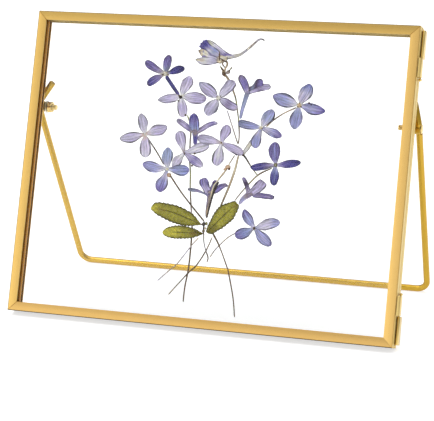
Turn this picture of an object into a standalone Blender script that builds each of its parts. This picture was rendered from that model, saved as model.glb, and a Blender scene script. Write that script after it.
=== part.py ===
"""Pressed flowers between two hinged glass-and-brass half frames, on a folding wire stand.

Every piece is modelled in the upright frame's own coordinates: X to the right, Y to the back
with the frame's rear face at Y = 0, and Z up from its lower edge. One empty then leans it all
back. The origin ends up under the middle of the object, on the surface that it stands on.
"""
from math import cos, hypot, pi, radians, sin, sqrt

import bmesh
import bpy
from mathutils import Matrix, Vector

MM = 0.001

# Frame
WIDTH = 205.0 * MM
HEIGHT = 159.0 * MM
DEPTH = 9.5 * MM
STRIP_FACE = 4.8 * MM
SEAM = 0.3 * MM
SHEET = 0.6 * MM
SEAM_LEG = 1.3 * MM
FOLD_RADIUS = 0.4 * MM
MITRE_GAP = 0.15 * MM
PANE = 2.0 * MM
PANE_GAP = 0.3 * MM
PANE_INSET = 1.0 * MM
LEAN = radians(20.5)

# Hinges on the right side: a long section on the rear half, a short one on the front half
HINGE_LEAF = 1.6 * MM
HINGE_GAP = 0.3 * MM
HINGE_END = 1.6 * MM
REAR_SECTION = 14.0 * MM
FRONT_SECTION = 9.6 * MM
HINGE_REACH = 3.9 * MM
HINGE_PIN_RADIUS = 0.35 * MM
HINGE_BORE_RADIUS = 0.45 * MM
PIN_HEAD_RADIUS = 0.9 * MM

# Stand: one bent wire that turns on two screws
WIRE_RADIUS = 1.7 * MM
PIVOT_X = 103.1 * MM
PIVOT_BACK = 6.5 * MM
PIVOT_UP = 109.7 * MM
FOOT_X = 100.4 * MM
FOOT_BACK = 88.4 * MM
FOOT_BEND = 6.0 * MM
STUB_BEND = 3.0 * MM
STUB_START = 2.0 * MM
LEFT_STUB_TIP = Vector((-94.3, 1.1, 122.3)) * MM
RIGHT_STUB_TIP = Vector((100.6, 2.0, 122.3)) * MM

# Pivot fittings, as distances from the middle plane of the frame
EYE_RADIUS = 2.7 * MM
EYE = (100.2 * MM, 103.9 * MM)
LUG = (98.9 * MM, 99.9 * MM)
WASHER = (98.0 * MM, 98.6 * MM)
NUT = (95.3 * MM, 97.7 * MM)
SCREW_TIP = 92.9 * MM
SCREW_HEAD = (104.2 * MM, 104.9 * MM)
SCREW_RADIUS = 1.45 * MM
FITTING_BORE = 1.7 * MM
LUG_RADIUS = 2.6 * MM
WASHER_RADIUS = 3.3 * MM
NUT_FLATS = 5.5 * MM
HEAD_RADIUS = 2.5 * MM

# Dried plants: thin layers that lie on the rear pane, the first one at the back
LAYER_THICKNESS = 0.25 * MM
LAYER_PITCH = 0.35 * MM
STEM_FLATNESS = 0.2 * MM
HUB_RADIUS = 1.1 * MM

REAR_SEAM = (SEAM - DEPTH) / 2
REAR_PANE = (REAR_SEAM + SEAM_LEG + PANE_GAP, REAR_SEAM + SEAM_LEG + PANE_GAP + PANE)
FRONT_PANE = (-DEPTH - REAR_PANE[1], -DEPTH - REAR_PANE[0])
HINGE_AXIS = Vector((WIDTH / 2 + HINGE_GAP + HINGE_LEAF / 2, -DEPTH / 2, 0.0))


# ---------------------------------------------------------------- scene and helpers

def empty_scene():
    for obj in list(bpy.data.objects):
        bpy.data.objects.remove(obj, do_unlink=True)


def new_collection(name):
    collection = bpy.data.collections.new(name)
    bpy.context.scene.collection.children.link(collection)
    return collection


def metal_or_plain(name, colour, roughness, metallic):
    material = bpy.data.materials.new(name)
    material.use_nodes = True
    shader = material.node_tree.nodes["Principled BSDF"]
    shader.inputs["Base Color"].default_value = (*colour, 1.0)
    shader.inputs["Roughness"].default_value = roughness
    shader.inputs["Metallic"].default_value = metallic
    return material


def new_object(name, data, material, collection):
    obj = bpy.data.objects.new(name, data)
    if material is not None:
        obj.data.materials.append(material)
    collection.objects.link(obj)
    return obj


def new_empty(name, location, collection):
    empty = bpy.data.objects.new(name, None)
    empty.location = location
    empty.empty_display_size = 0.01
    collection.objects.link(empty)
    return empty


def flat_outline(name, loops, thickness, material, collection):
    """A plate in the XY plane: the first loop is its outline, the others are holes."""
    curve = bpy.data.curves.new(name, "CURVE")
    curve.dimensions = "2D"
    curve.fill_mode = "BOTH"
    curve.extrude = thickness / 2
    for loop in loops:
        spline = curve.splines.new("POLY")
        spline.points.add(len(loop) - 1)
        for point, (x, y) in zip(spline.points, loop):
            point.co = (x, y, 0.0, 1.0)
        spline.use_cyclic_u = True
    return new_object(name, curve, material, collection)


def tube(name, points, radius, sides_level, material, collection, radii=None):
    """A wire or a stem along the points; radii, where given, scale the radius at each."""
    curve = bpy.data.curves.new(name, "CURVE")
    curve.dimensions = "3D"
    curve.bevel_depth = radius
    curve.bevel_resolution = sides_level
    curve.use_fill_caps = True
    spline = curve.splines.new("POLY")
    spline.points.add(len(points) - 1)
    for index, (point, place) in enumerate(zip(spline.points, points)):
        point.co = (*place, 1.0)
        point.radius = radii[index] if radii else 1.0
    return new_object(name, curve, material, collection)


def as_mesh(obj, collection):
    """The same object as a closed mesh, in its own axes, with the caps welded on."""
    bpy.context.view_layer.update()
    evaluated = obj.evaluated_get(bpy.context.evaluated_depsgraph_get())
    mesh = bpy.data.meshes.new_from_object(evaluated)
    mesh.transform(obj.matrix_world)
    shape = bmesh.new()
    shape.from_mesh(mesh)
    bmesh.ops.remove_doubles(shape, verts=shape.verts, dist=0.001 * MM)
    bmesh.ops.recalc_face_normals(shape, faces=shape.faces)
    shape.to_mesh(mesh)
    shape.free()
    name = obj.name
    bpy.data.objects.remove(obj, do_unlink=True)
    return new_object(name, mesh, None, collection)


def box(name, low, high, material, collection):
    shape = bmesh.new()
    bmesh.ops.create_cube(shape, size=1.0)
    size = Vector(high) - Vector(low)
    bmesh.ops.scale(shape, vec=size, verts=shape.verts)
    mesh = bpy.data.meshes.new(name)
    shape.to_mesh(mesh)
    shape.free()
    obj = new_object(name, mesh, material, collection)
    obj.location = (Vector(high) + Vector(low)) / 2
    return obj


def cylinder_along_x(name, centre, radius, start, end, material, collection, sides=24):
    """A closed cylinder whose axis runs along X from start to end, at centre's Y and Z."""
    shape = bmesh.new()
    bmesh.ops.create_cone(shape, cap_ends=True, segments=sides, radius1=radius,
                          radius2=radius, depth=abs(end - start))
    bmesh.ops.rotate(shape, matrix=Matrix.Rotation(pi / 2, 3, "Y"), verts=shape.verts)
    bmesh.ops.translate(shape, vec=((start + end) / 2, centre.y, centre.z), verts=shape.verts)
    mesh = bpy.data.meshes.new(name)
    shape.to_mesh(mesh)
    shape.free()
    return new_object(name, mesh, material, collection)


def boolean(target, tool, operation):
    modifier = target.modifiers.new(operation.lower(), "BOOLEAN")
    modifier.operation = operation
    modifier.object = tool
    modifier.solver = "EXACT"
    tool.hide_render = True
    tool.display_type = "WIRE"


def circle(radius, sides, centre=(0.0, 0.0), turn=0.0):
    return [(centre[0] + radius * cos(turn + 2 * pi * k / sides),
             centre[1] + radius * sin(turn + 2 * pi * k / sides)) for k in range(sides)]


def arc(centre, radius, start, end, steps):
    """Points on an arc between two angles in degrees."""
    angles = [radians(start + (end - start) * k / steps) for k in range(steps + 1)]
    return [(centre[0] + radius * cos(a), centre[1] + radius * sin(a)) for a in angles]


def rounded_path(corners, bends, steps=6):
    """The corners joined by straight runs, each inner corner rounded to its bend radius."""
    path = [corners[0]]
    for before, corner, after, bend in zip(corners, corners[1:], corners[2:], bends):
        to_before = (before - corner).normalized()
        to_after = (after - corner).normalized()
        half_angle = to_before.angle(to_after) / 2
        tangent = bend / abs(sin(half_angle) / cos(half_angle))
        centre = corner + (to_before + to_after).normalized() * (bend / sin(half_angle))
        start = corner + to_before * tangent - centre
        turn = start.cross(to_after).normalized()
        sweep = pi - 2 * half_angle
        for k in range(steps + 1):
            path.append(centre + Matrix.Rotation(sweep * k / steps, 3, turn) @ start)
    path.append(corners[-1])
    return path


# ---------------------------------------------------------------- frame strips and panes

def channel_section():
    """The U section of a rear strip: (distance from the outer edge, depth)."""
    outer_rear = arc((FOLD_RADIUS, -FOLD_RADIUS), FOLD_RADIUS, 180, 90, 2)
    outer_seam = arc((FOLD_RADIUS, REAR_SEAM + FOLD_RADIUS), FOLD_RADIUS, 270, 180, 2)
    return [
        *outer_rear,
        (STRIP_FACE, 0.0),
        (STRIP_FACE, -SHEET),
        (SHEET, -SHEET),
        (SHEET, REAR_SEAM + SEAM_LEG),
        (STRIP_FACE, REAR_SEAM + SEAM_LEG),
        (STRIP_FACE, REAR_SEAM),
        *outer_seam,
    ]


def strip(name, length, to_centre, angle, is_front, material, collection):
    """A channel strip with mitred ends; angle turns it from the bottom to its own side."""
    section = channel_section()
    if is_front:
        section = [(across, -DEPTH - depth) for across, depth in section]
    rail = as_mesh(flat_outline(name, [section], length, None, collection), collection)
    mesh = rail.data
    mesh.transform(Matrix.Rotation(-pi / 2, 4, "Y"))
    mitre_shift = MITRE_GAP / sqrt(2)
    for vertex in mesh.vertices:
        half_length = length / 2 - vertex.co.z - mitre_shift
        vertex.co.x = half_length if vertex.co.x > 0 else -half_length
    mesh.transform(Matrix.Translation((0.0, 0.0, -to_centre)))
    mesh.transform(Matrix.Rotation(angle, 4, "Y"))
    mesh.transform(Matrix.Translation((0.0, 0.0, HEIGHT / 2)))
    mesh.materials.append(material)
    return rail


def half_frame(half, material, collection):
    sides = {
        "bottom": (WIDTH, HEIGHT / 2, 0.0),
        "left": (HEIGHT, WIDTH / 2, pi / 2),
        "top": (WIDTH, HEIGHT / 2, pi),
        "right": (HEIGHT, WIDTH / 2, -pi / 2),
    }
    return [strip(f"{half}_strip_{side}", length, to_centre, angle, half == "front",
                  material, collection)
            for side, (length, to_centre, angle) in sides.items()]


def pane(name, depth_range, material, collection):
    low = (PANE_INSET - WIDTH / 2, depth_range[0], PANE_INSET)
    high = (WIDTH / 2 - PANE_INSET, depth_range[1], HEIGHT - PANE_INSET)
    return box(name, low, high, material, collection)


# ---------------------------------------------------------------- hinges

def hinge_section(name, bottom, height, reach, material, collection):
    """A block along the frame's side whose round nose holds the pin."""
    half = HINGE_LEAF / 2
    x, y = HINGE_AXIS.x, HINGE_AXIS.y
    direction = 1 if reach > 0 else -1
    nose = arc((x, y), half, 0, -180 * direction, 8)
    outline = [*nose, (x - half, y + reach), (x + half, y + reach)]
    bore = circle(HINGE_BORE_RADIUS, 10, (x, y))
    leaf = flat_outline(name, [outline, bore], height, material, collection)
    leaf.location.z = bottom + height / 2
    return leaf


def hinge_pin(name, outer_end, inner_end, material, collection):
    """A pin with a round head at its inner end."""
    length = abs(inner_end - outer_end)
    head = circle_profile_of_pin(length)
    mesh = bpy.data.meshes.new(name)
    mesh.from_pydata([(r, 0.0, z) for r, z in head], [(k, k + 1) for k in range(len(head) - 1)], [])
    pin = new_object(name, mesh, material, collection)
    screw = pin.modifiers.new("turn", "SCREW")
    screw.steps = 12
    screw.render_steps = 12
    screw.use_merge_vertices = True
    screw.merge_threshold = 0.001 * MM
    pin.location = (HINGE_AXIS.x, HINGE_AXIS.y, outer_end)
    if inner_end < outer_end:
        pin.rotation_euler.x = pi
    return pin


def circle_profile_of_pin(length):
    """Half profile, from the head's top on the axis down the outside to the tail's middle."""
    head_height = PIN_HEAD_RADIUS * 1.5
    head = [(PIN_HEAD_RADIUS * sin(radians(a)), length + head_height * (1 + cos(radians(a))) / 2)
            for a in (0, 40, 80, 120, 150)]
    head[0] = (0.0, head[0][1])
    return [*head, (HINGE_PIN_RADIUS, length), (HINGE_PIN_RADIUS, 0.0), (0.0, 0.0)]


def hinge(place, material, collection):
    """Rear leaf, front leaf and pin of the hinge at the top or the bottom corner."""
    rear_length = REAR_SECTION
    if place == "top":
        rear_bottom = HEIGHT - HINGE_END - rear_length
        front_bottom = rear_bottom - HINGE_GAP - FRONT_SECTION
        pin_ends = (HEIGHT - HINGE_END, front_bottom - HINGE_GAP)
    else:
        rear_bottom = HINGE_END
        front_bottom = rear_bottom + rear_length + HINGE_GAP
        pin_ends = (HINGE_END, front_bottom + FRONT_SECTION + HINGE_GAP)
    rear = hinge_section(f"hinge_{place}_rear_leaf", rear_bottom, rear_length,
                         HINGE_REACH, material, collection)
    front = hinge_section(f"hinge_{place}_front_leaf", front_bottom, FRONT_SECTION,
                          -HINGE_REACH, material, collection)
    pin = hinge_pin(f"hinge_{place}_pin", *pin_ends, material, collection)
    return rear, front, pin


# ---------------------------------------------------------------- stand and pivot fittings

def stand_corners(lean_matrix):
    """Tip, bend, foot corner, foot corner, bend and tip of the wire, from left to right."""
    foot = lean_matrix.inverted() @ Vector((0.0, FOOT_BACK, WIRE_RADIUS))
    corners = []
    for side, tip in ((-1, LEFT_STUB_TIP), (1, RIGHT_STUB_TIP)):
        pivot = Vector((side * PIVOT_X, PIVOT_BACK, PIVOT_UP))
        foot_corner = Vector((side * FOOT_X, foot.y, foot.z))
        bend = pivot + (pivot - foot_corner).normalized() * STUB_START
        corners.append([tip, bend, foot_corner])
    return [*corners[0], *reversed(corners[1])]


def stand(lean_matrix, material, collection, cutters):
    bends = [STUB_BEND, FOOT_BEND, FOOT_BEND, STUB_BEND]
    path = rounded_path(stand_corners(lean_matrix), bends)
    wire = as_mesh(tube("stand_wire", path, WIRE_RADIUS, 4, None, collection), collection)
    wire.data.materials.append(material)
    pivot = Vector((0.0, PIVOT_BACK, PIVOT_UP))
    tools = []
    for side, label in ((-1, "left"), (1, "right")):
        eye = cylinder_along_x(f"eye_{label}", pivot, EYE_RADIUS, side * EYE[0], side * EYE[1],
                               None, cutters)
        seat = cylinder_along_x(f"head_seat_{label}", pivot, HEAD_RADIUS + 0.6 * MM,
                                side * EYE[1], side * (EYE[1] + 3 * MM), None, cutters)
        bore = cylinder_along_x(f"eye_bore_{label}", pivot, FITTING_BORE,
                                side * (EYE[0] - MM), side * (EYE[1] + MM), None, cutters)
        boolean(wire, eye, "UNION")
        boolean(wire, seat, "DIFFERENCE")
        boolean(wire, bore, "DIFFERENCE")
        tools.extend((eye, seat, bore))
    return wire, tools


def standing_on_x(obj, start, end, side):
    """Turn a plate from the XY plane to the YZ plane, between two distances from the middle."""
    obj.rotation_euler = (pi / 2, 0.0, pi / 2)
    obj.location.x = side * (start + end) / 2
    return obj


def lug(side, label, material, collection):
    """An ear on the rear face of the side strip, with the screw's hole in its round end."""
    top = arc((PIVOT_BACK, PIVOT_UP), LUG_RADIUS, -90, 90, 10)
    outline = [*top, (SEAM, PIVOT_UP + LUG_RADIUS), (SEAM, PIVOT_UP - LUG_RADIUS)]
    bore = circle(FITTING_BORE, 16, (PIVOT_BACK, PIVOT_UP))
    plate = flat_outline(f"lug_{label}", [outline, bore], LUG[1] - LUG[0], material, collection)
    return standing_on_x(plate, *LUG, side)


def ring(name, outline_radius, sides, turn, span, side, material, collection):
    centre = (PIVOT_BACK, PIVOT_UP)
    loops = [circle(outline_radius, sides, centre, turn), circle(FITTING_BORE, 16, centre)]
    plate = flat_outline(name, loops, span[1] - span[0], material, collection)
    return standing_on_x(plate, *span, side)


def screw(side, label, material, collection, cutters):
    centre = Vector((0.0, PIVOT_BACK, PIVOT_UP))
    overlap = 0.2 * MM
    shank = cylinder_along_x(f"screw_{label}", centre, SCREW_RADIUS, side * SCREW_TIP,
                             side * (SCREW_HEAD[0] + overlap), material, collection, sides=16)
    head = cylinder_along_x(f"screw_head_{label}", centre, HEAD_RADIUS, side * SCREW_HEAD[0],
                            side * SCREW_HEAD[1], None, cutters, sides=20)
    boolean(shank, head, "UNION")
    return shank, head


# ---------------------------------------------------------------- dried plants

def layer_depth(layer):
    """The middle of a layer, in front of the rear pane."""
    return REAR_PANE[0] - 0.1 * MM - LAYER_THICKNESS / 2 - layer * LAYER_PITCH


def petal(angle, length, width):
    """One petal's outline from its right root over the tip to its left root, about the hub."""
    spread = [(0.3, -0.26), (0.6, -0.5), (0.85, -0.38), (1.0, 0.0),
              (0.85, 0.38), (0.6, 0.5), (0.3, 0.26)]
    a = radians(angle)
    return [(length * along * cos(a) - width * across * sin(a),
             length * along * sin(a) + width * across * cos(a)) for along, across in spread]


def star(centre, petals):
    """An open flower seen from the front: petals around a small hub, in millimetres."""
    ordered = sorted(petals)
    outline = []
    for k, (angle, length, width) in enumerate(ordered):
        following = ordered[(k + 1) % len(ordered)][0] + (360 if k + 1 == len(ordered) else 0)
        crotch = radians((angle + following) / 2)
        hub = HUB_RADIUS / MM
        outline.extend(petal(angle, length, width))
        outline.append((hub * cos(crotch), hub * sin(crotch)))
    return [((centre[0] + x) * MM, (centre[1] + z) * MM) for x, z in outline]


def standing_plate(obj, layer):
    """Stand an outline up from the XY plane into its layer."""
    obj.rotation_euler.x = pi / 2
    obj.location.y = layer_depth(layer)
    return obj


def plate_of(name, outline, layer, material, collection):
    shape = flat_outline(name, [outline], LAYER_THICKNESS, material, collection)
    return standing_plate(shape, layer)


def stem(name, points, width, layer, material, collection, taper=0.8):
    """A flattened stem through points in millimetres, a little thinner at its far end."""
    path = [Vector((x, 0.0, z)) * MM for x, z in points]
    radii = [1.0 + (taper - 1.0) * k / (len(path) - 1) for k in range(len(path))]
    shape = tube(name, path, width * MM / 2, 1, material, collection, radii)
    shape.scale.y = STEM_FLATNESS / (width * MM)
    shape.location.y = layer_depth(layer)
    return shape


def strap(points, widths):
    """The outline of a flat band along points with a width at each, in metres."""
    left, right = [], []
    for k, (x, z) in enumerate(points):
        x0, z0 = points[max(k - 1, 0)]
        x1, z1 = points[min(k + 1, len(points) - 1)]
        run = hypot(x1 - x0, z1 - z0)
        nx, nz = (z0 - z1) / run, (x1 - x0) / run
        half = widths[k] / 2
        left.append(((x + nx * half) * MM, (z + nz * half) * MM))
        right.append(((x - nx * half) * MM, (z - nz * half) * MM))
    return left + right[::-1]


STARS = {
    "floret_1": (0, (-29.9, 129.2), [(152, 13.1, 3.4), (85, 10.2, 3.8), (19, 10.6, 3.5),
                                     (-147, 10.8, 3.4)]),
    "floret_2": (1, (-20.0, 118.0), [(72, 11.4, 6.0), (-169, 12.4, 4.2), (-2, 13.6, 6.0),
                                     (-79, 10.4, 5.0)]),
    "floret_3": (1, (0.1, 118.2), [(146, 13.3, 5.7), (50, 11.9, 5.3), (-24, 11.1, 4.4),
                                   (-120, 10.3, 6.8)]),
    "floret_5": (1, (43.3, 116.6), [(163, 14.5, 6.4), (68, 11.8, 6.1), (-9, 13.5, 4.9),
                                    (-97, 11.8, 6.4)]),
    "floret_6": (2, (24.5, 104.2), [(170, 12.5, 3.2), (62, 10.6, 5.2), (-19, 11.3, 3.8),
                                    (-102, 10.5, 5.1)]),
    "floret_7": (2, (33.8, 85.8), [(97, 11.4, 5.4), (10, 13.1, 3.4), (-89, 10.1, 3.9),
                                   (-171, 12.8, 3.1)]),
    "floret_8": (1, (-37.8, 97.0), [(107, 11.2, 5.0), (23, 12.3, 5.2), (-168, 13.7, 5.2),
                                    (-83, 11.7, 5.8)]),
    "floret_10": (1, (-15.3, 89.0), [(110, 11.3, 4.9), (19, 13.9, 4.2), (-31, 12.3, 4.1),
                                     (-126, 9.5, 4.7)]),
    "floret_11": (3, (4.1, 95.2), [(76, 9.4, 4.6), (171, 13.0, 4.4), (-21, 13.0, 3.8),
                                   (-96, 11.7, 5.9)]),
    "floret_12": (2, (-23.6, 79.9), [(94, 11.2, 5.9), (172, 13.7, 4.4), (1, 11.5, 4.7),
                                     (-104, 12.1, 6.0)]),
    "floret_15": (1, (25.8, 53.1), [(124, 10.7, 3.7), (17, 13.5, 4.4), (-39, 12.2, 4.7),
                                    (-152, 10.1, 4.4)]),
}

# Flowers pressed from the side: outlines, clockwise or not, in millimetres
SIDE_VIEWS = {
    "floret_4": (1, [(13.0, 108.0), (13.9, 108.4), (16.8, 120.0), (21.0, 122.6), (26.9, 124.3),
                     (27.6, 126.0), (23.6, 126.8), (21.6, 129.2), (19.4, 127.9), (16.0, 123.0),
                     (13.2, 128.4), (10.9, 131.2), (9.2, 130.2), (11.0, 126.0), (14.4, 121.6),
                     (12.3, 109.4)]),
    "floret_9": (2, [(-11.0, 94.2), (-9.2, 94.2), (-8.6, 98.6), (-3.6, 103.2), (1.3, 104.6),
                     (0.6, 106.2), (-4.2, 105.2), (-8.6, 101.2), (-9.4, 105.6), (-10.6, 109.4),
                     (-13.0, 109.2), (-14.0, 105.6), (-12.2, 101.4), (-16.4, 104.0),
                     (-20.8, 106.6), (-21.8, 105.0), (-17.0, 101.8), (-11.4, 98.4)]),
    "floret_13": (1, [(-0.4, 56.3), (0.6, 56.3), (2.2, 67.4), (5.8, 70.6), (10.6, 73.0),
                      (9.2, 75.0), (5.0, 73.2), (4.4, 76.4), (1.8, 76.6), (0.6, 71.6),
                      (-1.2, 76.4), (-3.9, 77.8), (-5.0, 74.4), (-2.6, 70.6), (-7.0, 70.0),
                      (-11.8, 71.0), (-11.8, 69.6), (-6.6, 68.4), (-1.0, 67.8)]),
    "floret_14": (1, [(16.2, 65.0), (17.4, 63.8), (23.0, 68.2), (29.4, 68.2), (34.8, 68.6),
                      (34.6, 70.6), (28.4, 71.0), (25.6, 71.0), (29.0, 73.2), (30.6, 75.4),
                      (29.2, 78.0), (26.4, 78.2), (23.0, 74.6), (21.2, 73.2), (18.2, 78.8),
                      (16.6, 78.2), (18.6, 73.6), (19.8, 70.4)]),
}

LARKSPUR = [(-14.0, 137.4), (-7.4, 136.6), (-0.3, 136.5), (1.7, 138.0), (7.4, 139.0),
            (10.4, 140.6), (14.5, 143.6), (18.3, 147.2), (21.8, 149.0), (19.7, 149.9),
            (18.1, 149.1), (15.3, 146.5), (11.9, 143.3), (8.8, 141.7), (4.8, 141.6),
            (0.9, 142.6), (-3.4, 145.7), (-8.3, 148.0), (-10.0, 146.4), (-12.6, 144.9),
            (-13.6, 141.8)]
LARKSPUR_STEM = [(0.8, 137.6), (1.6, 135.2), (2.0, 132.5), (3.4, 130.0), (4.6, 127.9),
                 (7.2, 123.0), (9.3, 118.4), (10.7, 112.8), (11.9, 107.4), (13.0, 100.1),
                 (13.0, 95.3)]
LARKSPUR_BRACTS = [((-0.9, 135.2), (1.9, 132.2)), ((5.2, 134.9), (2.6, 131.2))]

# Stalks that are one growth with their flower
FLOWER_STALKS = {
    "floret_1": [(-29.9, 128.6), (-25.8, 123.6), (-21.8, 119.2)],
    "floret_5": [(42.0, 115.6), (35.6, 112.3), (30.2, 108.3), (27.5, 105.2)],
    "floret_8": [(-37.0, 96.2), (-30.6, 88.7), (-26.1, 82.5)],
    "floret_12": [(-23.0, 78.9), (-15.4, 69.2), (-9.2, 62.7), (-1.0, 54.8)],
}
STALK_WIDTHS = {"floret_1": 2.0, "floret_5": 0.7, "floret_8": 0.6, "floret_12": 0.9}

# Leaves: layer, midline and width along it
LEAVES = {
    "leaf_upper_left": (1, [(-30.3, 59.1), (-28.6, 59.3), (-24.0, 58.6), (-17.4, 56.8),
                            (-10.4, 54.9), (-5.6, 53.6), (-2.7, 52.9)],
                        [0.8, 4.4, 6.6, 7.0, 4.9, 2.4, 0.7]),
    "leaf_lower_left": (1, [(-22.7, 47.2), (-21.0, 47.3), (-17.0, 47.6), (-11.8, 47.9),
                            (-6.6, 48.4), (-3.4, 48.7), (-1.3, 48.8)],
                        [0.8, 3.6, 5.3, 5.6, 4.2, 2.0, 0.7]),
    "leaf_right": (2, [(0.7, 49.0), (2.6, 51.0), (5.6, 53.6), (9.9, 56.5), (13.2, 60.0),
                       (15.3, 63.2), (16.0, 64.9)],
                   [0.7, 2.6, 5.2, 6.6, 6.0, 3.8, 0.8]),
}

# Loose stems: layer, width and points
STEMS = {
    "stem_main_left": (0, 1.0, [(-15.9, 108.5), (-14.4, 105.3), (-13.1, 99.7), (-12.9, 94.3),
                                (-12.1, 84.8), (-11.2, 79.9), (-10.4, 71.0), (-8.5, 58.7),
                                (-7.4, 51.7), (-7.0, 43.0), (-7.0, 33.0), (-7.2, 28.4),
                                (-8.1, 20.2), (-8.2, 12.7)]),
    "stem_main_right": (0, 1.3, [(13.7, 89.5), (12.4, 81.4), (10.2, 73.1), (8.6, 68.3),
                                 (6.7, 62.6)]),
    "stem_middle": (2, 0.9, [(11.9, 89.4), (9.6, 85.1), (8.6, 82.4), (4.0, 75.6), (1.8, 71.0),
                             (0.7, 57.9)]),
    "stem_right": (0, 0.9, [(32.0, 84.2), (25.4, 80.5), (20.5, 75.2), (16.7, 70.3),
                            (14.0, 66.3)]),
    "stem_upper": (1, 0.7, [(5.4, 112.2), (8.0, 106.3), (10.4, 100.8), (12.8, 95.3)]),
    "stem_translucent": (0, 2.3, [(19.5, 96.3), (16.9, 91.2)]),
    "stem_dark": (1, 0.9, [(12.4, 90.0), (16.3, 89.8), (21.5, 83.5), (24.9, 79.9)]),
    "tail_right": (1, 0.8, [(4.3, 48.7), (8.3, 42.6), (13.2, 32.8), (14.5, 29.6), (18.1, 17.3),
                            (19.9, 7.5)]),
    "tail_left": (1, 0.8, [(4.1, 47.0), (1.5, 40.0), (-2.9, 32.0), (-7.4, 27.1),
                           (-16.4, 15.9)]),
    "tail_hooked": (3, 1.4, [(-1.1, 53.3), (-0.8, 49.8), (-0.4, 48.1), (0.1, 44.0),
                             (1.5, 40.0), (3.1, 36.3), (2.7, 33.8)]),
    "tail_thin": (1, 0.5, [(-3.1, 46.1), (-6.4, 42.0), (-13.2, 32.1), (-17.5, 27.9),
                           (-23.0, 22.4)]),
    "tail_pale": (0, 0.6, [(16.5, 50.2), (12.3, 47.4), (8.1, 43.0), (5.4, 39.6),
                           (3.7, 36.5)]),
}


def grown_together(flower, stalks, collection, cutters):
    """Join a flower's plate with its stalks into one solid."""
    material = flower.data.materials[0]
    solid = as_mesh(flower, collection)
    solid.data.materials.append(material)
    pieces = []
    for stalk in stalks:
        piece = as_mesh(stalk, cutters)
        boolean(solid, piece, "UNION")
        pieces.append(piece)
    return solid, pieces


def bouquet(materials, collection, cutters):
    """Every dried flower, leaf and stem; also the helper solids that their unions use."""
    plants, helpers = [], []
    outlines = {name: (layer, star(centre, petals))
                for name, (layer, centre, petals) in STARS.items()}
    for name, (layer, points) in SIDE_VIEWS.items():
        outlines[name] = (layer, [(x * MM, z * MM) for x, z in points])
    for name, (layer, outline) in outlines.items():
        flower = plate_of(name, outline, layer, materials["petal"], collection)
        if name in FLOWER_STALKS:
            stalk = stem(f"{name}_stalk", FLOWER_STALKS[name], STALK_WIDTHS[name], layer,
                         None, cutters)
            flower, used = grown_together(flower, [stalk], collection, cutters)
            helpers.extend(used)
        plants.append(flower)
    larkspur = plate_of("larkspur", [(x * MM, z * MM) for x, z in LARKSPUR], 0,
                        materials["petal"], collection)
    stalks = [stem("larkspur_stem", LARKSPUR_STEM, 1.0, 0, None, cutters)]
    for number, points in enumerate(LARKSPUR_BRACTS, start=1):
        bract = flat_outline(f"larkspur_bract_{number}", [strap(points, (0.5, 0.9))],
                             LAYER_THICKNESS * 0.6, None, cutters)
        stalks.append(standing_plate(bract, 0))
    larkspur, used = grown_together(larkspur, stalks, collection, cutters)
    plants.append(larkspur)
    helpers.extend(used)
    for name, (layer, midline, widths) in LEAVES.items():
        plants.append(plate_of(name, strap(midline, widths), layer, materials["leaf"], collection))
    for name, (layer, width, points) in STEMS.items():
        plants.append(stem(name, points, width, layer, materials["stem"], collection))
    return plants, helpers


# ---------------------------------------------------------------- the whole object

def parent_all(children, parent):
    """Hang pieces that are placed in the frame's coordinates under an empty in them."""
    shift = Matrix.Translation(-parent.location)
    for child in children:
        child.parent = parent
        child.matrix_parent_inverse = shift


def build():
    empty_scene()
    parts = new_collection("pressed_flower_frame")
    cutters = new_collection("helpers")
    gold = metal_or_plain("brass", (0.83, 0.6, 0.27), 0.3, 1.0)
    steel = metal_or_plain("steel", (0.62, 0.61, 0.6), 0.35, 1.0)
    glass = metal_or_plain("glass", (0.93, 0.96, 0.95), 0.03, 0.0)
    glass.node_tree.nodes["Principled BSDF"].inputs["Transmission Weight"].default_value = 1.0
    plant_materials = {
        "petal": metal_or_plain("dried petal", (0.4, 0.37, 0.66), 0.8, 0.0),
        "leaf": metal_or_plain("dried leaf", (0.28, 0.31, 0.06), 0.75, 0.0),
        "stem": metal_or_plain("dried stem", (0.33, 0.26, 0.13), 0.8, 0.0),
    }

    frame_front = -DEPTH * cos(LEAN)
    foot_rear = FOOT_BACK + WIRE_RADIUS
    middle = (frame_front + foot_rear) / 2
    lift = -FOLD_RADIUS * sin(LEAN)
    lean_matrix = Matrix.Translation((0.0, 0.0, lift)) @ Matrix.Rotation(-LEAN, 4, "X")

    rear = half_frame("rear", gold, parts) + [pane("rear_pane", REAR_PANE, glass, parts)]
    front = half_frame("front", gold, parts) + [pane("front_pane", FRONT_PANE, glass, parts)]
    for place in ("top", "bottom"):
        rear_leaf, front_leaf, pin = hinge(place, gold, parts)
        rear.extend((rear_leaf, pin))
        front.append(front_leaf)
    wire, stand_tools = stand(lean_matrix, gold, parts, cutters)
    for side, label in ((-1, "left"), (1, "right")):
        rear.append(lug(side, label, gold, parts))
        rear.append(ring(f"washer_{label}", WASHER_RADIUS, 24, 0.0, WASHER, side, steel, parts))
        rear.append(ring(f"nut_{label}", NUT_FLATS / sqrt(3), 6, 0.2, NUT, side, gold, parts))
        rear.extend(screw(side, label, gold, parts, cutters))
    plants, helpers = bouquet(plant_materials, parts, cutters)

    whole = new_empty("lean", (0.0, 0.0, 0.0), parts)
    hinge_line = new_empty("hinge_line", HINGE_AXIS, parts)
    stand_pivot = new_empty("stand_pivot", (0.0, PIVOT_BACK, PIVOT_UP), parts)
    parent_all(rear + plants + helpers, whole)
    parent_all(front, hinge_line)
    parent_all([wire] + stand_tools, stand_pivot)
    hinge_line.parent = whole
    stand_pivot.parent = whole
    whole.rotation_euler.x = -LEAN
    whole.location = (0.0, -middle, lift)


build()
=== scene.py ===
"""The looks of the pressed flower frame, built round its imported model.

Pieces are drawn in the upright frame's own millimetres: X to the right, Y to the back from the
rear face, Z up from the lower edge. LEAN then turns them back with the frame, into metres.
"""

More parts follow.
